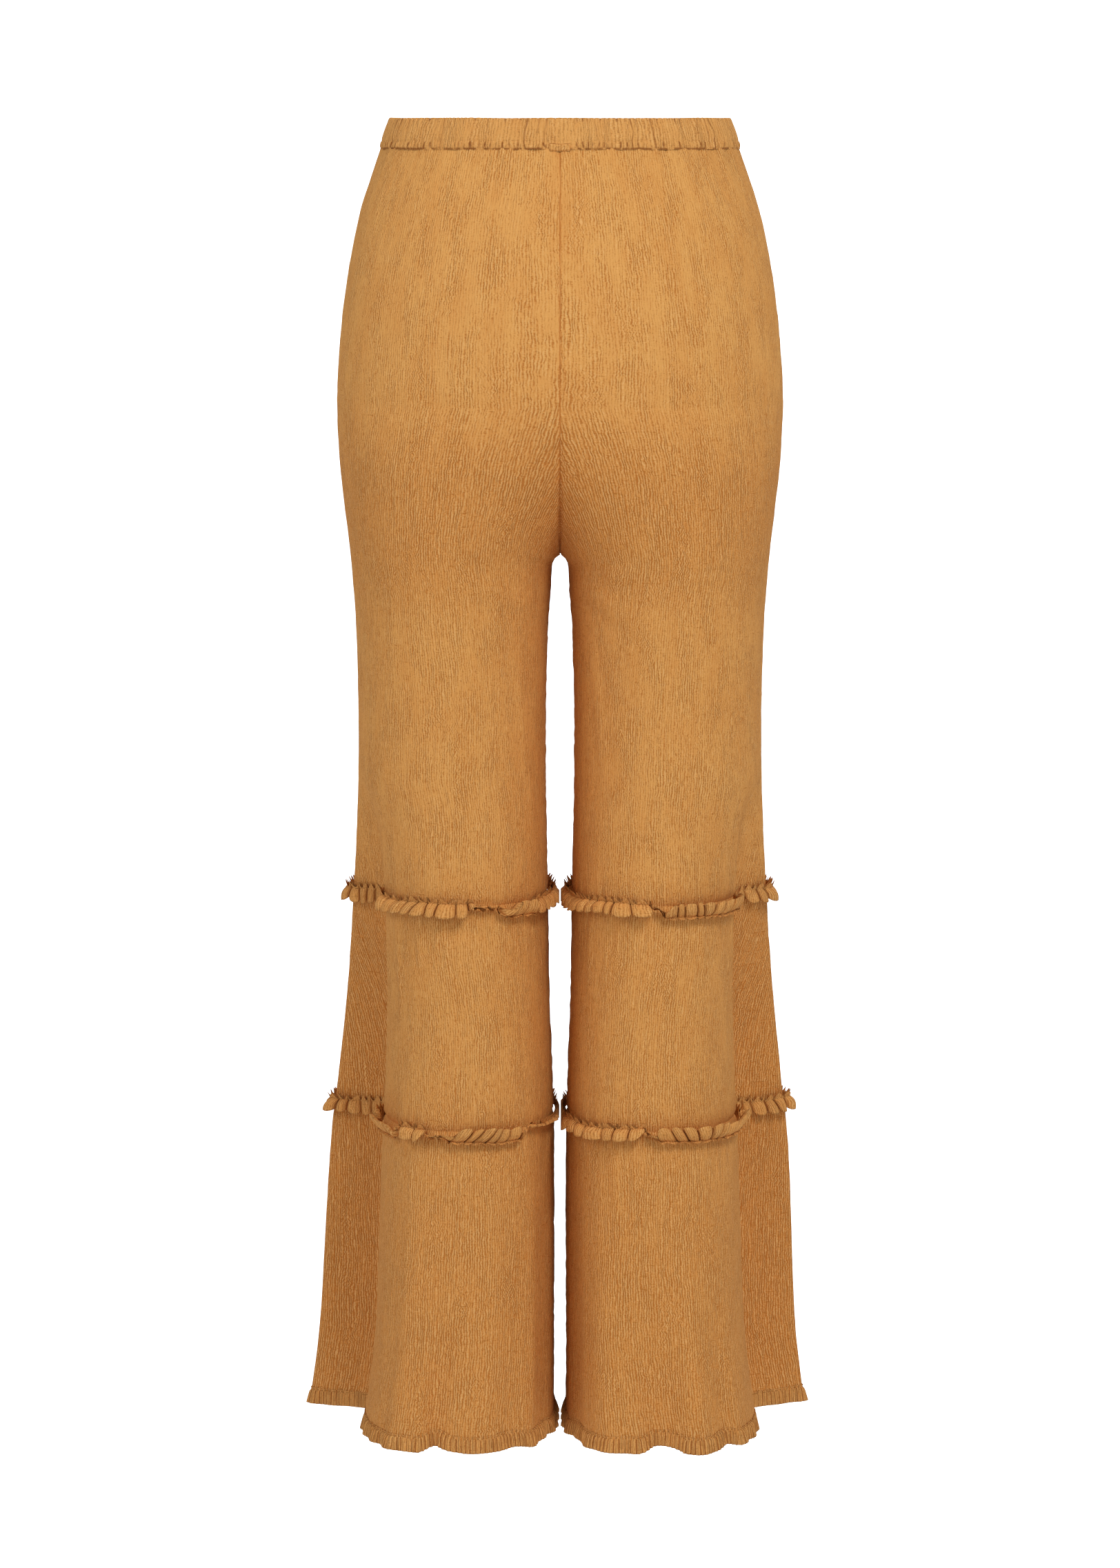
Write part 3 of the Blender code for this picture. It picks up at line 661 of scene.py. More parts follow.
# light and warm are the two tones the cloth varies between. deep is a darker, redder colour painted as shade
# where the crinkles are marked packed and shaded, and hollow is painted shade in a crinkle's floor and
# between pleats and gathers, and also a seam's own dark line. across sets how close the ridges lie and along
# how often they drift. zigzag and relief are strengths, and shade is how far the hollow colour shows.
Finish = namedtuple("Finish", "name light warm deep hollow across along zigzag relief shade")
FINISHES = [
    Finish(
        "crinkled_cotton",
        (0.825, 0.408, 0.117), (0.785, 0.366, 0.100), (0.72, 0.290, 0.070), (0.50, 0.155, 0.024),
        across=3500, along=60, zigzag=1.0, relief=0.8, shade=0.74,
    ),
    Finish(
        "frill_cotton",
        (0.82, 0.405, 0.118), (0.77, 0.360, 0.100), (0.70, 0.285, 0.070), (0.32, 0.090, 0.015),
        across=4000, along=60, zigzag=0.5, relief=0.7, shade=0.55,
    ),
    Finish(
        "gathered_casing",
        (0.82, 0.410, 0.120), (0.78, 0.370, 0.104), (0.72, 0.300, 0.076), (0.26, 0.072, 0.014),
        across=2900, along=80, zigzag=0.8, relief=0.7, shade=0.45,
    ),
]


def mix_colour(tree, factor, a, b):
    """A Mix node for colours. a and b are sockets or colours."""
    node = add_node(tree, "ShaderNodeMix", data_type="RGBA")
    tree.links.new(factor, node.inputs["Factor"])
    colour_sockets = [s for s in node.inputs if s.type == "RGBA"]
    for socket, value in zip(colour_sockets, (a, b)):
        if isinstance(value, tuple):
            socket.default_value = (*value, 1)
        else:
            tree.links.new(value, socket)
    return next(s for s in node.outputs if s.type == "RGBA")


def make_finish(finish):
    material = bpy.data.materials.new(finish.name)
    material.use_nodes = True
    tree = material.node_tree
    shader = tree.nodes["Principled BSDF"]
    cloth = add_node(tree, "ShaderNodeUVMap", uv_map="cloth")
    group = add_node(tree, "ShaderNodeGroup", node_tree=crinkle_group)
    tree.links.new(cloth.outputs[0], group.inputs["Cloth"])
    set_inputs(group, {"Across": finish.across, "Along": finish.along, "Zigzag": finish.zigzag})
    packed_and_shade = add_node(tree, "ShaderNodeAttribute", attribute_name="packed_and_shade").outputs["Fac"]
    tree.links.new(packed_and_shade, group.inputs["Packed"])
    patch = ramp(tree, group.outputs["Tone"], *TONE_RAMP)
    colour = mix_colour(tree, patch, finish.light, finish.warm)
    # Painted shade: the deep colour, by the attribute of packed crinkles and painted shade.
    colour = mix_colour(tree, packed_and_shade, colour, finish.deep)
    # Painted shade in the crinkles' hollows.
    colour = mix_colour(tree, times(tree, group.outputs["Hollow"], finish.shade), colour, finish.hollow)
    # Painted highlight on the crinkles' crests.
    colour = mix_colour(tree, times(tree, group.outputs["Crest_highlight"], CREST_HIGHLIGHT_SHARE), colour, CREST_HIGHLIGHT)
    # Dark lines: a seam's own dark line on the panels, painted shade between pleats and gathers.
    seams_and_shade = add_node(tree, "ShaderNodeUVMap", uv_map="seams_and_shade")
    split = add_node(tree, "ShaderNodeSeparateXYZ")
    tree.links.new(seams_and_shade.outputs[0], split.inputs[0])
    nearest = maths(tree, "MINIMUM", split.outputs[0], split.outputs[1])
    line = maths(tree, "SUBTRACT", 1.0, ramp(tree, nearest, *SEAM_AND_SHADE_LINE))
    colour = mix_colour(tree, times(tree, line, SEAM_AND_SHADE_LINE_SHARE), colour, finish.hollow)
    tree.links.new(colour, shader.inputs["Base Color"])
    relief = add_node(tree, "ShaderNodeBump")
    set_inputs(relief, {"Strength": finish.relief, "Distance": CRINKLE_HEIGHT})
    tree.links.new(group.outputs["Height"], relief.inputs["Height"])
    tree.links.new(relief.outputs[0], shader.inputs["Normal"])
    set_inputs(shader, {"Roughness": CLOTH_ROUGHNESS, "Specular IOR Level": CLOTH_GLOSS})
    return material


materials = {finish.name: make_finish(finish) for finish in FINISHES}
print("finishes:", list(materials))

# %% Dressing a solid


def dress(node, ending, finish, grids, packed_and_shade, closed=False):
    """A sheet in one of the finishes that takes a solid's place. grids are its points, its cloth map and its
    map of seams and painted shade lines.
    """
    made = sheet_object(f"{node}_{ending}", *grids, packed_and_shade, materials[finish], closed)
    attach(made, "root")
    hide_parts(node)
    return made


def close_strip(points, cloth, seams_and_shade, flipped=False):
    """The grids of a strip whose last column lies on its first. A flipped one has its rows turned round."""
    grids = np.array(points), np.array(cloth), np.array(seams_and_shade)
    grids[0][:, -1] = grids[0][:, 0]
    return [grid[::-1] for grid in grids] if flipped else grids


print("pieces are finished by", dress.__name__)

# %% [markdown]
# ## Leg panels
#
# Each leg has a back and a front panel in each of its three tiers, cut with the thread running down the
# leg and sewn edge to edge. Each becomes a grid about a millimetre fine across and a few millimetres down,
# because crinkles are long and narrow. The crinkles that are wide enough to see as a shape move the grid's
# vertices in and out, and so do the gathers under each seam, the puckers beside it and a few soft creases
# put in one by one. The fine ones stay in the finish.

# %% Thread lines
ACROSS_STEP = 1.2 * MM
DOWN_STEP = 3.6 * MM
SEAM_LEAN = 0.28
LEAN_WIDTH = 105 * MM
LEAN_TOP = -210 * MM
LEAN_FOOT = -345 * MM


def section_length(face, leg, z):
    x, y, _ = section(face, leg, z)
    return float(run_along(x, y)[-1])


def thread_place(face, leg, z, from_side, length, tier):
    """Where the thread that passes here lay in the uncut cloth, measured from the side seam."""
    if tier != "upper":
        middle = KNEE_SEAM if tier == "middle" else SHIN_SEAM
        return from_side * section_length(face, leg, middle) / length
    wide = section_length(face, leg, HIP_LINE) / length if z > HIP_LINE else 1
    leaning = smooth_ramp(z, LEAN_FOOT, LEAN_TOP) * (LEAN_TOP - LEAN_FOOT)
    return from_side * wide - SEAM_LEAN * leaning * np.exp(-(length - from_side) / LEAN_WIDTH)


print("threads lean", round(math.degrees(math.atan(SEAM_LEAN))), "degrees at the seat seam")

# %% Creases placed one by one
# In millimetres and degrees: the middle of the crease (around the leg as for folds, and height), half its
# length and half its width, how far it leans from upright, and its depth outwards.
Crease = namedtuple("Crease", "around z length width lean depth")
CREASES = {
    "left": [
        (-95, -594, 60, 4, 86, -1.1), (-60, -604, 26, 5, 4, 1.1), (-52, -600, 30, 4, -6, -1.0),
        (-74, -598, 24, 5, 3, 1.0), (-40, -620, 60, 5, 2, 1.2), (-120, -330, 60, 12, 70, -1.2),
        (-110, -352, 50, 10, 74, -0.9), (-140, -450, 80, 9, 8, 1.0), (-100, -780, 60, 7, 3, 1.2),
        (60, -600, 40, 6, 3, 1.2), (95, -340, 60, 12, 60, -1.2),
    ],
    "right": [
        (-60, -600, 30, 5, -4, 1.0), (-120, -600, 26, 6, 5, -1.0), (-140, -610, 40, 6, 3, 1.2),
        (-124, -335, 50, 12, -68, -1.2), (-130, -360, 50, 10, -62, -1.0), (-135, -440, 90, 9, -8, 1.0),
        (-110, -790, 60, 8, -4, 1.4), (100, -605, 40, 6, -3, 1.2), (95, -345, 60, 12, -60, -1.2),
    ],
}


def crease_depth(leg, around, z):
    total = np.zeros_like(around)
    for crease in (Crease(*row) for row in CREASES[leg]):
        sideways = (around - math.radians(crease.around)) * SIDE_RADIUS
        upwards = z - crease.z * MM
        lean = math.radians(crease.lean)
        along = upwards * math.cos(lean) + sideways * math.sin(lean)
        across = sideways * math.cos(lean) - upwards * math.sin(lean)
        total += crease.depth * MM * bump(across, crease.width * MM) * bump(along, crease.length * MM)
    return total


print("creases:", {leg: len(rows) for leg, rows in CREASES.items()})

# %% Crinkles, gathers and puckers
CRINKLE_DEPTH = 0.26 * MM
GATHER_DEPTH = 1.3 * MM
GATHER_LENGTH = 34 * MM
GATHER_ABOVE = 11 * MM
OUTER_SEAM = 0.5
GROOVE_DEPTH = 1.1 * MM
GROOVE_WIDTH = 1.8 * MM
PUCKER_DEPTH = 0.8 * MM
PUCKER_REACH = 9 * MM


def crinkle_depth(thread, down, seed):
    """The crinkles that are wide enough to model."""
    zig = 1.4 * MM * noise(thread / (22 * MM), down / (7 * MM), seed)
    wander = 4 * MM * noise(thread / (60 * MM), down / (50 * MM), seed + 1)
    bent = thread + zig + wander
    broad = noise(bent / (4.6 * MM), down / (60 * MM), seed + 2)
    narrow = noise(bent / (2.1 * MM), down / (22 * MM), seed + 3)
    strong = 0.65 + 0.35 * noise(thread / (45 * MM), down / (55 * MM), seed + 4)
    return CRINKLE_DEPTH * strong * (0.4 * broad + 0.6 * narrow)


def gather_depth(thread, down_from_seam, length, seed):
    """Small ridges that start in a seam and fade away from it."""
    fade = np.exp(-np.maximum(down_from_seam, 0) / length)
    uneven = 0.6 + 0.4 * hills(thread, 50, seed)
    wander = 0.6 * noise(down_from_seam / (20 * MM), thread / (15 * MM), seed)
    return GATHER_DEPTH * fade * uneven * noise(thread / (4.6 * MM) + wander, 0, seed + 1)


def seam_depth(distance, down, seed):
    """The groove of a seam and the puckers beside it."""
    groove = -GROOVE_DEPTH * np.exp(-((distance / GROOVE_WIDTH) ** 2))
    pucker = noise(down / (6 * MM) + distance / (9 * MM), 0, seed)
    fade = np.exp(-distance / PUCKER_REACH)
    return groove + PUCKER_DEPTH * pucker * fade * smooth_ramp(distance, 0, 2 * MM)


print("crinkles stand", CRINKLE_DEPTH, "m proud")

# %% Panels
TIERS = {
    "upper": (BAND_FOOT + 6 * MM, KNEE_SEAM),
    "middle": (KNEE_SEAM, SHIN_SEAM),
    "lower": (SHIN_SEAM, HEM_SEAM - 1.5 * MM),
}
TURN_IN = 1.6 * MM
TURN_REACH = 3 * MM
CALM_REACH = 4 * MM
LOWER_GATHERS = 1.3
SEAM_WEAR = 0.5 * MM

# How closely the crinkles lie, as shares, which also paints shade: a deeper colour lower on the legs, under
# the seat, beside the inner seam and in the side folds. Each row of the tiers' table has the heights in
# millimetres where the cloth starts to be packed and shaded and where it is fully so, and the share.
PACKED_AND_SHADED_TIERS = [(-150, -240, 0.20), (-500, -620, 0.12), (-700, -850, 0.35)]
PACKED_AND_SHADED_SEAT = {"back": 0.42, "front": 0.2}
SEAT_FOLD = -285
SEAT_REACH = 100
PACKED_AND_SHADED_SEAM_REACH = 35 * MM
PACKED_AND_SHADED_LOBE = 0.6


def hem_lift(leg, angle):
    """How far the hem rises where the cloth folds in."""
    return -HEM_LIFT * np.minimum(fold_depth(leg, angle, HEM_SEAM), 0)


def packed_and_shaded_cloth(face, angles, heights, inner):
    """How closely the crinkles lie, also as painted shade: flat over the hips, close and shaded under the
    seat, beside the inner seam, in the side folds and lower down.
    """
    z = heights / MM
    # Packed crinkles and painted shade, deeper down the lower tiers.
    packed_and_shade = sum(share * smooth_ramp(z, top, foot) for top, foot, share in PACKED_AND_SHADED_TIERS)
    # Painted shade under the seat, where the cloth turns downwards.
    packed_and_shade = packed_and_shade + PACKED_AND_SHADED_SEAT[face] * bump(z - SEAT_FOLD, SEAT_REACH)
    # Painted shade beside the inner seam.
    beside = smooth_ramp(z, -170, -260) * (0.5 - 0.4 * smooth_ramp(z, -290, -340))
    packed_and_shade = packed_and_shade + beside * np.exp(-inner / PACKED_AND_SHADED_SEAM_REACH)
    # Painted shade in the side folds behind the crease.
    front = smooth_ramp(angles, math.radians(25), math.radians(60))
    creases = np.array([size_at(row[0]).crease / SIDE_RADIUS for row in heights])[:, None]
    beyond = smooth_ramp(angles, creases - math.radians(3), creases + math.radians(5))
    return np.clip(packed_and_shade + PACKED_AND_SHADED_LOBE * beyond * (1 - front) * smooth_ramp(z, -520, -620), 0, 1)


def panel_rows(face, leg, tier):
    """Everything about a panel's grid before its fine relief: points, angles and distances."""
    top, foot = TIERS[tier]
    heights = np.linspace(top, foot, round((top - foot) / DOWN_STEP) + 1)
    levels = [z for z in (top, HIP_LINE, CROTCH_Z - ARCH_HEIGHT, foot) if top >= z >= foot]
    widest = max(section_length(face, leg, z) for z in levels)
    shares = np.linspace(0, 1, round(widest / ACROSS_STEP) + 1)
    points, angles, threads, inner, outer = [], [], [], [], []
    for z in heights:
        x, y, angle = section(face, leg, z)
        run = run_along(x, y)
        goal = shares * run[-1]
        x, y, angle = (np.interp(goal, run, values) for values in (x, y, angle))
        lift = smooth_ramp(z, SHIN_SEAM, HEM_SEAM) * hem_lift(leg, angle) if tier == "lower" else 0
        points.append(np.stack([x, y, z + lift + 0 * x], axis=1))
        angles.append(angle)
        inner.append(goal)
        outer.append(run[-1] - goal)
        threads.append(thread_place(face, leg, z, outer[-1], run[-1], tier))
    return tuple(np.array(rows) for rows in (points, angles, threads, inner, outer))


def make_panel(tier, face, leg):
    points, angles, threads, inner, outer = panel_rows(face, leg, tier)
    mirror = 1 if leg == "right" else -1
    points[..., 0] *= mirror
    outward = mirror * (1 if face == "back" else -1)
    normals = grid_normals(points, -outward)
    seed = 3 * list(TIERS).index(tier) + (0 if face == "back" else 11) + (0 if leg == "left" else 23)
    heights = points[..., 2]
    top, foot = TIERS[tier]
    relief = crinkle_depth(threads, heights, seed)
    start, length = (BAND_FOOT, 1.0) if tier == "upper" else (top, LOWER_GATHERS)
    relief = relief + gather_depth(threads, start - heights, GATHER_LENGTH * length, seed + 5)
    if tier != "lower":
        relief = relief + gather_depth(threads, heights - foot, GATHER_ABOVE, seed + 6)
    relief = relief + crease_depth(leg, angles, heights)
    relief = relief * smooth_ramp(np.minimum(inner, outer), 0, 3 * MM)
    relief = relief + seam_depth(inner, heights, seed + 7)
    relief = relief + OUTER_SEAM * seam_depth(outer, heights, seed + 8)
    for distance, raw in ((top - heights, "upper"), (heights - foot, "lower")):
        if tier != raw:
            relief = relief * smooth_ramp(distance, 0, CALM_REACH) - TURN_IN * bump(distance, TURN_REACH)
    points = points + normals * relief[..., None]
    points[..., 0] = mirror * np.maximum(mirror * points[..., 0], 0)
    points[heights[:, 0] > CROTCH_Z, 0, 0] = 0
    cloth = np.stack([threads * mirror, heights], axis=2)
    worn = SEAM_WEAR * np.clip(hills(heights, 9, seed + 9), 0, 1)
    seams_and_shade = np.stack([inner + worn, outer + OUTER_SEAM * MM], axis=2)
    # Packed crinkles and painted shade for the finish.
    packed_and_shade = packed_and_shaded_cloth(face, angles, heights, inner)
    made = dress(f"{tier}_{face}_{leg}", "cloth", "crinkled_cotton", (points, cloth, seams_and_shade), packed_and_shade)
    width, length = float(np.ptp(threads)), float(np.ptp(heights))
    return made


for tier in TIERS:
    for face in ("back", "front"):
        for leg in ("left", "right"):
            made = make_panel(tier, face, leg)
            print(made.name, len(made.data.polygons), "faces")

# %% [markdown]
# ## Rings round a leg
#
# Frills are sewn into a seam that runs all round a leg, so they start from that ring: its points in order
# from the inseam, round the back, the outer side and the front, with the direction out of the leg and the
# direction along the seam at each.

# %% Rings
LEG_CLEARANCE = 0.5 * MM
Ring = namedtuple("Ring", "place outward along angle run")


def leg_ring(leg, z, count, lifted=False):
    """count + 1 points round a leg for x > 0, the last on the first."""
    x, y, angle = half_ring(leg, z)
    run = run_along(x, y)
    goal = np.linspace(0, run[-1], count + 1)
    x, y, angle = (np.interp(goal, run, values) for values in (x, y, angle))
    height = z + (hem_lift(leg, angle) if lifted else 0 * angle)
    outward, ahead = directions(x, y)
    return Ring(np.stack([x, y, height], axis=1), outward, ahead, angle, goal)


def ring_at(ring, run):
    """The ring again, at other distances along it."""

    def at_run(values):
        return np.stack([np.interp(run, ring.run, column) for column in values.T], axis=1)

    angle = np.interp(run, ring.run, ring.angle)
    return Ring(at_run(ring.place), at_run(ring.outward), at_run(ring.along), angle, run)


def place_row(ring, mirror, out, aside, height):
    """One row of a strip: points at distances out from a ring and aside along it, clear of the other leg."""
    xy = ring.place[:, :2] + ring.outward * out[:, None] + ring.along * aside[:, None]
    return np.stack([mirror * np.maximum(xy[:, 0], LEG_CLEARANCE), xy[:, 1], height], axis=1)


def pleat_columns(edges, columns):
    """How many pleats have gone by at each column of a strip, and how far along the ring it lies."""
    pleats = len(edges) - 1
    phase = np.linspace(0, pleats, pleats * columns + 1)
    return phase, np.interp(phase, np.arange(pleats + 1), edges)


def from_crease(phase):
    """How far each column is from the nearest crease between pleats, from 0 to half a pleat."""
    return np.abs((phase + 0.5) % 1 - 0.5)


print("round the knee:", round(leg_ring("left", KNEE_SEAM, 60).run[-1], 3), "m")

# %% [markdown]
# ## Frills in the seams
#
# Each tier's seam holds a folded strip of the same cotton, pleated by hand, so its pleats lean, differ in
# width and stand up in some places while they hang in others. Its two raw edges stick out of the seam as a
# thin double wave. The strip is one grid: its columns run round the leg and swell outwards in each pleat,
# and its rows go from one raw edge to the seam, out to the fold and back to the other raw edge. A short
# table gives the stretches of each frill: how wide its pleats are there and which way it tilts.

# %% Stretches of the frills
# Each stretch ends at its own angle round the leg, in degrees from the inseam at -180 round the back at
# -90. pitch is the pleats' width in millimetres and tilt is the strip's angle: -90 hangs, 90 stands.
Stretch = namedtuple("Stretch", "end pitch tilt")
FRILLS = {
    "knee_frill_left": [
        (-139, 12, -56), (-114, 12, 58), (-94, 7, 2), (-27, 11.5, -58), (30, 8, -66),
        (70, 10, -66), (96, 12, 50), (140, 11, -62), (180, 10, -66),
    ],
    "knee_frill_right": [
        (-117, 6.8, -56), (-104, 13, -62), (-94, 7, -52), (-86, 7, 2), (-12, 7.6, 62),
        (40, 9, -66), (88, 10, -60), (112, 12, 52), (180, 10, -64),
    ],
    "shin_frill_left": [
        (-122, 7, -14), (-82, 8.6, 62), (-67, 7, 8), (-46, 11, -58), (-12, 13, 50),
        (60, 10, -64), (84, 12, 50), (130, 9, -64), (180, 10, -64),
    ],
    "shin_frill_right": [
        (-123, 15, -56), (-95, 11.5, -60), (-88, 7, 2), (-12, 9.8, 62), (50, 10, -64),
        (96, 10, -58), (118, 12, 52), (180, 10, -66),
    ],
}
FOLD_REACH = math.radians(17)
TILT_BLEND = math.radians(9)
FRILL_RING_POINTS = 1200
PLEAT_COLUMNS = 20
PLEAT_WIDTHS = (0.62, 1.45)
PLEAT_VARIES = (0.55, 1.3)


def pleat_edges(ring, stretches, generator):
    """Where each pleat starts along a ring, in metres, with the widths of the stretches."""
    widths, at = [], 0.0
    while at < ring.run[-1]:
        angle = math.degrees(np.interp(at, ring.run, ring.angle))
        pitch = next(s.pitch for s in stretches if angle <= s.end + 1e-6) * MM
        widths.append(pitch * generator.uniform(*PLEAT_WIDTHS))
        at += widths[-1]
    edges = np.concatenate([[0], np.cumsum(widths)])
    return edges * (ring.run[-1] / edges[-1])


def tilt_at(angle, stretches):
    """The strip's tilt, with short twists between stretches, in radians."""
    tilt = np.full_like(angle, math.radians(stretches[0].tilt))
    for before, after in zip(stretches, stretches[1:]):
        end = math.radians(before.end)
        turn = math.radians(after.tilt - before.tilt)
        tilt = tilt + turn * smooth_ramp(angle, end - TILT_BLEND / 2, end + TILT_BLEND / 2)
    return tilt


print("frill stretches:", {name: len(rows) for name, rows in FRILLS.items()})

# %% The shape of a pleat
# Rows of the strip from one raw edge over the fold to the other. The first value is the share of the depth
# from the seam to the fold, or below 0 that of the header from the seam to the raw edge. The second is 1 for
# the upper layer of the strip and -1 for the one under it.
FRILL_ROWS = [(-share, 1) for share in (1.0, 0.72, 0.5, 0.28)]
FRILL_ROWS += [(share, 1) for share in np.linspace(0, 1, 10)]
FRILL_ROWS += [(share, -1) for share in np.linspace(1, 0, 6)[1:]]
FRILL_ROWS += [(-share, -1) for share in (0.33, 0.66, 1.0)]
FRILL_DEPTH = 12.4 * MM
FRILL_SWING = 4.2 * MM
FRILL_SEAT = 0.9 * MM
FRILL_LEAST = 1.6 * MM
FRILL_PACKED = 0.35
FRILL_RISE = 1.5 * MM
UNDER_SWING = 0.3
UNDER_SWAY = 0.5
UNDER_GAP = 0.9 * MM
PLEAT_LEAN = 0.13
LEAST_ROOM = 0.25
HEADER = 3.0 * MM
HEADER_ROWS = 3
HEADER_CLEAR = 4
STANDING_DROP = 8.5 * MM
SEAM_WANDER = 1.3 * MM
EDGE_WAVE = 6.2 * MM
EDGE_RISE = 2.0 * MM
PLEAT_CLOTH = 0.015
HOLLOW_SHADE_WIDTH = 0.36
NO_SEAM = 10 * MM

# Values for every column of a strip. room is the share of its full stand, phase counts the pleats, crown is
# 1 at the top of a pleat, facing is -1 where the strip hangs and 1 where it stands, and standing goes from 0
# to 1 between the two.
Pleats = namedtuple("Pleats", "ring room phase pitch size skew drop crown tilt facing standing seed")


def room_for_frill(ring, crease):
    """The share of its full stand that a frill has beside the other leg and in the side fold."""
    in_fold = bump(ring.angle - crease, FOLD_REACH)
    inwards = np.maximum(-ring.outward[:, 0], 1e-6)
    most = (ring.place[:, 0] - LEG_CLEARANCE) / inwards
    full = FRILL_DEPTH * 0.4 + FRILL_SWING
    return np.clip((most - FRILL_LEAST) / (full - FRILL_LEAST), 0, 1) * (1 - in_fold)


def make_pleats(name, leg, z, generator, seed):
    """The columns of a frill."""
    ring = leg_ring(leg, z, FRILL_RING_POINTS)
    stretches = [Stretch(*row) for row in FRILLS[name]]
    edges = pleat_edges(ring, stretches, generator)
    pleats = len(edges) - 1
    phase, run = pleat_columns(edges, PLEAT_COLUMNS)
    room = np.interp(run, ring.run, room_for_frill(ring, size_at(z).crease / SIDE_RADIUS))
    ring = ring_at(ring, run)
    tilt = tilt_at(ring.angle, stretches)
    pitch = np.interp(phase, np.arange(pleats) + 0.5, np.diff(edges))
    own = [generator.uniform(*PLEAT_VARIES, pleats + 1) for _ in range(3)]
    for values in own:
        values[-1] = values[0]
    size, lean, drop = (np.interp(phase, np.arange(pleats + 1), values) for values in own)
    skew = 0.8 * noise(phase / 4, 0, seed) + 0.9 * (lean - 0.95)
    crown = np.abs(np.sin(math.pi * phase)) ** 0.7
    standing = smooth_ramp(tilt, math.radians(-25), math.radians(45))
    facing = np.tanh(3 * tilt)
    return Pleats(ring, room, phase, pitch, size, skew, drop, crown, tilt, facing, standing, seed)


def frill_body(pleat, share, bulge):
    """How far out, up and along the strip a row lies between the seam and the fold."""
    turned = 0.25 + 0.75 * np.minimum(np.abs(np.sin(pleat.tilt)) / 0.8, 1)
    reach = share * turned * FRILL_DEPTH * (1 + 0.14 * pleat.standing)
    reach = reach * (0.62 + 0.36 * pleat.drop) * (1 - 0.45 * (1 - pleat.crown) * share)
    out = np.cos(pleat.tilt) * reach + np.abs(np.sin(pleat.tilt)) * bulge
    up = np.sin(pleat.tilt) * reach - np.cos(pleat.tilt) * pleat.facing * bulge
    return out, up, pleat.skew * reach


def frill_header(pleat, share, side, bulge):
    """How far out, up and along the strip a row lies between the seam and its wavy raw edge."""
    ripple = 2 * math.pi * pleat.ring.run / EDGE_WAVE + 1.5 * hills(pleat.ring.run, 8, pleat.seed + 1)
    wave = np.sin(ripple + 0.4 * side) * (1 - 0.65 * pleat.standing)
    level = 1 - np.abs(pleat.facing)
    opened = 0.65 + 0.25 * pleat.facing + 0.75 * level
    out = 0.6 * bulge - opened * share * HEADER + (0.8 * side - wave * share) * MM
    up = pleat.facing * share * HEADER * (1 - 0.5 * pleat.standing)
    up = up + EDGE_RISE * wave * (0.3 - 0.7 * share)
    return out, up - level * share * side * 1.4 * MM, 0


print("rows in a frill:", len(FRILL_ROWS))

# %% Pleated strips


def make_frill(name, z, seed):
    leg = name.rsplit("_", 1)[1]
    mirror = 1 if leg == "right" else -1
    pleat = make_pleats(name, leg, z, np.random.default_rng(seed), seed)
    base = pleat.ring.place[:, 2] - STANDING_DROP * pleat.standing
    base = base + SEAM_WANDER * hills(pleat.ring.run, 26, seed + 6)
    points, cloth = [], []
    for share, side in FRILL_ROWS:
        belly = 0.35 + 0.65 * math.sin(math.pi * min(0.9 * max(share, 0) + 0.05, 1))
        swing, gap, sway = (1, 0, 1) if side > 0 else (UNDER_SWING, UNDER_GAP, UNDER_SWAY)
        bulge = FRILL_SWING * pleat.size * pleat.crown * belly * swing - gap
        if share >= 0:
            out, up, skewed = frill_body(pleat, share, bulge)
        else:
            out, up, skewed = frill_header(pleat, share, side, bulge)
        out = FRILL_SEAT + (0.25 + 0.25 * side) * MM + np.maximum(pleat.room * (out + FRILL_LEAST), 0)
        lean = -PLEAT_LEAN * pleat.pitch * np.sin(2 * math.pi * pleat.phase) * sway
        aside = (lean + skewed) * np.maximum(pleat.room, LEAST_ROOM)
        points.append(place_row(pleat.ring, mirror, out, aside, base + up))
        run_in = np.full_like(pleat.phase, side * (share + 1) * FRILL_DEPTH)
        cloth.append(np.stack([pleat.phase * PLEAT_CLOTH, run_in], axis=1))
    # Painted shade: dark lines in the creases between the pleats, thinner on the headers.
    seams_and_shade = np.full((len(points), len(pleat.phase), 2), NO_SEAM)
    seams_and_shade[..., 1] = from_crease(pleat.phase) * pleat.pitch * HOLLOW_SHADE_WIDTH
    seams_and_shade[:HEADER_ROWS, :, 1] *= HEADER_CLEAR
    seams_and_shade[-HEADER_ROWS:, :, 1] *= HEADER_CLEAR
    grids = close_strip(points, cloth, seams_and_shade, mirror < 0)
    made = dress(name, "strip", "frill_cotton", grids, FRILL_PACKED, closed=True)
    return made


for seed, name in enumerate(FRILLS, start=40):
    z = KNEE_SEAM if name.startswith("knee") else SHIN_SEAM
    made = make_frill(name, z + FRILL_RISE, seed)
    print(made.name, len(made.data.polygons), "faces")

# %% [markdown]
# ## Hem frills
#
# The hem is a narrow strip in fine, even pleats, about three and a half millimetres each, that opens a
# little towards its edge. It is again one grid, folded over at the edge so that the strip has two faces.
# Here and there a deeper wave breaks the line of the hem.

# %% Hem strips
HEM_RING_POINTS = 1600
HEM_PITCH = 3.5 * MM
HEM_COLUMNS = 10
HEM_WIDTHS = (0.7, 1.3)
HEM_WAVES = 30
HEM_FLARE = 2.2 * MM
HEM_SWING = 1.1 * MM
HEM_SEAT = 0.5 * MM
HEM_LEAST = 0.3 * MM
HEM_HALF_THICKNESS = 0.55 * MM
HEM_SEAM_DIP = 1.3 * MM
HEM_CLOTH = 0.008

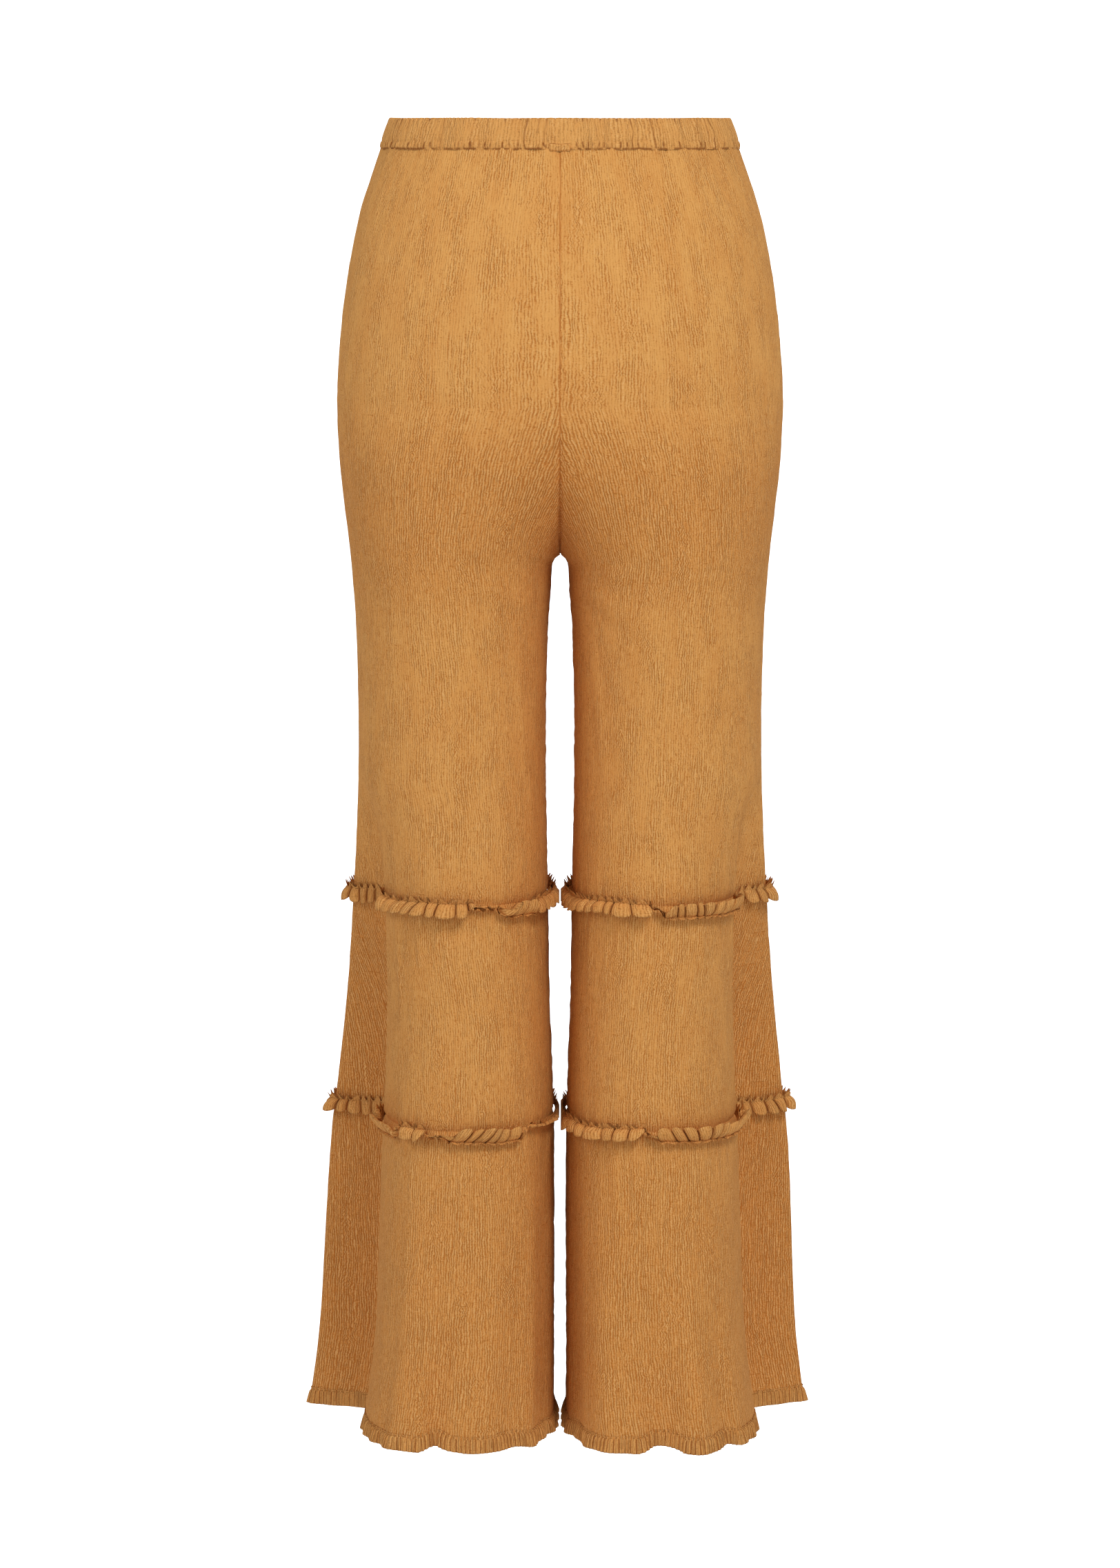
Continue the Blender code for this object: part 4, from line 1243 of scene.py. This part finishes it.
# Rows from the seam to the edge and back, as shares of the strip's height, with a layer for each of them: 1
# outside, 0 on the fold and -1 inside.
HEM_ROWS = np.concatenate([np.linspace(-0.12, 1, 9), [1.02], np.linspace(1, -0.12, 5)])
HEM_LAYERS = np.concatenate([np.ones(9), [0], -np.ones(5)])


def make_hem(leg, seed):
    mirror = 1 if leg == "right" else -1
    ring = leg_ring(leg, HEM_SEAM, HEM_RING_POINTS, lifted=True)
    length = ring.run[-1]
    widths = np.random.default_rng(seed).uniform(*HEM_WIDTHS, round(length / HEM_PITCH))
    edges = np.concatenate([[0], np.cumsum(widths)]) * length / widths.sum()
    phase, run = pleat_columns(edges, HEM_COLUMNS)
    ring = ring_at(ring, run)
    room = 1 - bump(ring.angle - size_at(HEM_SEAM).crease / SIDE_RADIUS, FOLD_REACH)
    turn = 2 * math.pi * phase
    broad = 2 * math.pi * HEM_WAVES * run / length
    uneven = 1 + 0.3 * np.sin(0.31 * broad + (2 if leg == "left" else 0))
    swing = HEM_SWING * uneven * np.sin(broad + math.pi / 4)
    ridge = np.abs(np.sin(turn / 2)) ** 0.5 - 0.6
    ragged = hills(run, 26, seed) * 1.6 * MM
    seam_wave = 0.55 * MM * hills(run, 2.6, seed + 2)
    height = HEM_SEAM - HEM_EDGE
    points, cloth = [], []
    for share, layer in zip(HEM_ROWS, HEM_LAYERS):
        down = min(max(share, 0), 1)
        out = HEM_SEAT + down * (HEM_FLARE + swing) + HEM_HALF_THICKNESS * layer
        out = out + ridge * (1.1 - 0.2 * down) * MM - HEM_SEAM_DIP * bump(share, 0.22)
        out = HEM_LEAST + room * (out - HEM_LEAST)
        aside = 0.22 * HEM_PITCH * np.sin(turn) * room
        aside = aside + 1.2 * MM * hills(run, 9, seed + 3) * down * room
        z = ring.place[:, 2] - share * height + ragged * down * 0.5 + seam_wave * (1 - down)
        points.append(place_row(ring, mirror, out, aside, z))
        run_in = np.full_like(phase, layer * (1.2 - share) * height)
        cloth.append(np.stack([phase * HEM_CLOTH, run_in], axis=1))
    seams_and_shade = np.empty((len(points), len(phase), 2))
    frayed = 0.5 * MM * np.clip(hills(run, 3, seed + 5), 0, 1)
    seams_and_shade[..., 0] = np.abs(HEM_ROWS)[:, None] * height + frayed
    # Painted shade: dark lines of uneven width in the creases between the hem's pleats.
    uneven_width = 2.0 + 7 * noise(phase / 1.3, 0, seed + 4) ** 2
    seams_and_shade[..., 1] = from_crease(phase) * HEM_PITCH * uneven_width
    grids = close_strip(points, cloth, seams_and_shade, mirror < 0)
    made = dress(f"hem_frill_{leg}", "strip", "frill_cotton", grids, FRILL_PACKED, closed=True)
    return made


for leg, seed in (("left", 61), ("right", 62)):
    made = make_hem(leg, seed)
    print(made.name, len(made.data.polygons), "faces")

# %% [markdown]
# ## The sewn rectangle at the centre back
#
# Where the casing was closed, a small rectangle of its seam lies flat on the casing's foot, sewn down round
# its edges. It is a small grid that bulges a little inside its stitches, and its finish is the casing's.

# %% Back tab
TAB_STAND = 2.3 * MM
TAB_COLUMNS = 48
TAB_ROWS = 20
TAB_EDGE = 1.3 * MM
TAB_EDGE_STAND = 0.35
TAB_CRINKLE = 0.2 * MM
TAB_WAVE = 0.35 * MM
TAB_STITCH = 0.4 * MM


def make_tab():
    low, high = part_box("back_tab")
    across = np.linspace(low[0], high[0], TAB_COLUMNS)
    x, z = np.meshgrid(across, np.linspace(high[2], low[2], TAB_ROWS))
    section_x, section_y, _ = section("back", "right", 0.5 * (low[2] + high[2]))
    around = np.interp(np.abs(x), section_x, section_y)
    beside = np.minimum(x - low[0], high[0] - x)
    edge = np.minimum(beside, np.minimum(z - low[2], high[2] - z))
    out = TAB_STAND * (TAB_EDGE_STAND + (1 - TAB_EDGE_STAND) * smooth_ramp(edge, 0, TAB_EDGE))
    out = out + TAB_CRINKLE * noise(x / (2 * MM), z / (2 * MM), 3)
    wavy = TAB_WAVE * hills(x, 3, 4)
    points = np.stack([x, around - out, z + wavy], axis=2)
    line = np.minimum(TAB_STITCH + edge, 0.9 * (high[2] - z))
    grids = points, np.stack([x, z], axis=2), np.stack([np.full_like(edge, NO_SEAM), line], axis=2)
    return dress("back_tab", "patch", "gathered_casing", grids, packed_and_shade=0.0)


tab = make_tab()
print(tab.name, len(tab.data.polygons), "faces")

# %% [markdown]
# ## Waistband
#
# The waist is a tunnel of cloth with an elastic band inside. The elastic pulls it into some hundred and
# fifty small gathers, sharp at the bottom, where they end in short dark ticks above the line of stitching,
# and softer at the top, where the cloth folds over. The dark of the ticks and of the folds between the
# gathers is painted shade. At the centre back, where the elastic's ends are joined, a short stretch lies
# flat. One grid runs up the outside, over the fold and down the inside.

# %% Casing
BAND_GATHERS = 150
BAND_COLUMNS = 9
BAND_LENGTH = 700 * MM
BAND_THICKNESS = 3.0 * MM
BAND_WIDTHS = (0.55, 1.5)
BAND_DEPTHS = (0.25, 1.25)
BAND_TICK_SHADES = (-0.3, 1.3)
BAND_PACKED = 0.1
FLAT_STRETCH = 6 * MM
FOOT_RISE = 1.8 * MM
GATHER_STAND = 0.85 * MM
GATHER_LIFT = 0.5 * MM
GATHER_CLOTH = 0.0048
GATHER_LINE = 3.4 * MM
LINE_REACH = 0.8 * MM
NO_LINE = 1.4 * MM
TICK_STAND = 0.55 * MM
TOP_BEND = 0.94
TOP_ROUND = 0.06
FOLD_TURN = 0.4

# Rows up the outside, over the fold and down the inside: the share of the casing's height, and the layer
# from 1 outside to -1 inside.
BAND_ROWS = [(up, 1) for up in np.linspace(0, TOP_BEND, 26)]
for turned in np.linspace(FOLD_TURN, math.pi - FOLD_TURN, 5):
    BAND_ROWS.append((TOP_BEND + TOP_ROUND * math.sin(turned), math.cos(turned)))
BAND_ROWS += [(up, -1) for up in np.linspace(TOP_BEND, 0.0, 6)]
print("rows in the casing:", len(BAND_ROWS))

# %% Lines and gathers of the casing


def waist_ring(z, count):
    """count + 1 points round the waist from the centre back, and the outward directions."""
    x, y, _ = half_ring("right", z)
    x, y = np.concatenate([x, -x[::-1][1:]]), np.concatenate([y, y[::-1][1:]])
    run = run_along(x, y)
    goal = np.linspace(0, run[-1], count + 1)
    x, y = np.interp(goal, run, x), np.interp(goal, run, y)
    return x, y, directions(x, y)[0]


def gather_strength(up):
    """How deep the gathers are at a height: deepest at the foot and the top."""
    return 0.45 + 0.55 * abs(2 * up - 0.9) ** 1.5


def foot_band(up):
    return bump(up - 0.16, 0.15)


def top_band(up):
    return bump(up - 0.97, 0.14)


def band_shade_and_stitching(run, up, layer, between, flat, crease, tick_shade):
    """How far a row's points are from the lines between gathers, the ticks and the line of stitching. The
    lines between gathers and the ticks are painted shade; the stitching is the seam's own dark line.
    """
    if layer <= 0.2:
        return np.full_like(run, NO_LINE)
    strong = 0.5 + 0.5 * gather_strength(up)
    near = LINE_REACH - np.minimum(between, LINE_REACH)
    # Painted shade in the folds between gathers.
    creased = LINE_REACH - near * flat * crease * strong
    # Painted shade in the ticks at the gathers' ends.
    ticked = LINE_REACH - near * np.clip(flat * (1.5 * foot_band(up) + 0.8 * top_band(up)) * tick_shade, 0, 1)
    stitches = np.clip(0.8 + 1.4 * hills(run, 3, 18), 0, 1)
    line = LINE_REACH * (1 - bump(up - 0.02, 0.05) * stitches)
    return np.minimum(np.minimum(creased, ticked), line)


def band_out(run, up, layer, ridge, flat):
    """How far a row's points stand out from the waist. ridge is the height of the gathers."""
    out = BAND_THICKNESS * (0.30 + 0.30 * math.sin(math.pi * min(up * 1.02 + 0.02, 1))) * layer
    out = out + flat * GATHER_STAND * gather_strength(up) * ridge * (1 if layer > -0.5 else 0.4)
    if layer > 0.9:
        stitched = max(bump(up - 0.02, 0.06), 0.6 * bump(up - 0.27, 0.05))
        out = out - stitched * (0.8 + 0.5 * noise(run / (5 * MM), up, 15)) * MM
    if layer > 0:
        ticks = noise(run / (1.1 * MM), up * 3, 12)
        out = out + TICK_STAND * ticks * flat * (foot_band(up) + 0.6 * top_band(up))
    return out


print("gathers stand", GATHER_STAND, "m proud")

# %% Gathered casing


def make_waistband():
    count = BAND_GATHERS * BAND_COLUMNS
    height = WAIST_TOP - BAND_FOOT
    generator = np.random.default_rng(5)
    widths = generator.uniform(*BAND_WIDTHS, BAND_GATHERS)
    edges = np.concatenate([[0], np.cumsum(widths)]) / widths.sum()
    share = np.linspace(0, 1, count + 1)
    gathers = np.arange(BAND_GATHERS + 1)
    phase = np.interp(share, edges, gathers)
    # The second and third draws are how strongly each gather's fold and tick get painted shade.
    drawn = [generator.uniform(*reach, len(gathers)) for reach in (BAND_DEPTHS, (0, 1), BAND_TICK_SHADES)]
    drawn[1] = drawn[1] ** 2.5
    depth, crease, tick_shade = (np.interp(phase % BAND_GATHERS, gathers, values) for values in drawn)
    run = share * BAND_LENGTH
    points, cloth, seams_and_shade = [], [], []
    for up, layer in BAND_ROWS:
        z = BAND_FOOT + FOOT_RISE + up * (height - FOOT_RISE)
        x, y, outward = waist_ring(z, count)
        flat = smooth_ramp(np.where(y < 0, np.abs(x), 1), FLAT_STRETCH, FLAT_STRETCH * 1.6)
        turns = phase + 0.45 * noise(run / (12 * MM), up * 3.0, 9)
        ridge = depth * (np.abs(np.sin(math.pi * turns)) ** 0.6 - 0.62)
        out = band_out(run, up, layer, ridge, flat)
        lift = flat * GATHER_LIFT * ridge * (1 if up > 0.9 else 0)
        wobble = 0.5 * MM * hills(run, 40, 14) * up
        wobble = wobble + 0.35 * MM * hills(run, 7, 16) * (up < 0.05)
        points.append(np.stack([x + outward[:, 0] * out, y + outward[:, 1] * out, z + lift + wobble], axis=1))
        run_up = np.full_like(x, (up if layer > 0 else 2 - up) * height)
        cloth.append(np.stack([phase * GATHER_CLOTH, run_up], axis=1))
        # Painted shade between the gathers and in their ticks, and the dark line of stitching.
        hollow = band_shade_and_stitching(run, up, layer, from_crease(turns) * GATHER_LINE, flat, crease, tick_shade)
        seams_and_shade.append(np.stack([np.full_like(x, NO_SEAM), hollow], axis=1))
    grids = close_strip(points, cloth, seams_and_shade)
    made = dress("waistband", "casing", "gathered_casing", grids, BAND_PACKED, closed=True)
    return made


made = make_waistband()
print(made.name, len(made.data.polygons), "faces")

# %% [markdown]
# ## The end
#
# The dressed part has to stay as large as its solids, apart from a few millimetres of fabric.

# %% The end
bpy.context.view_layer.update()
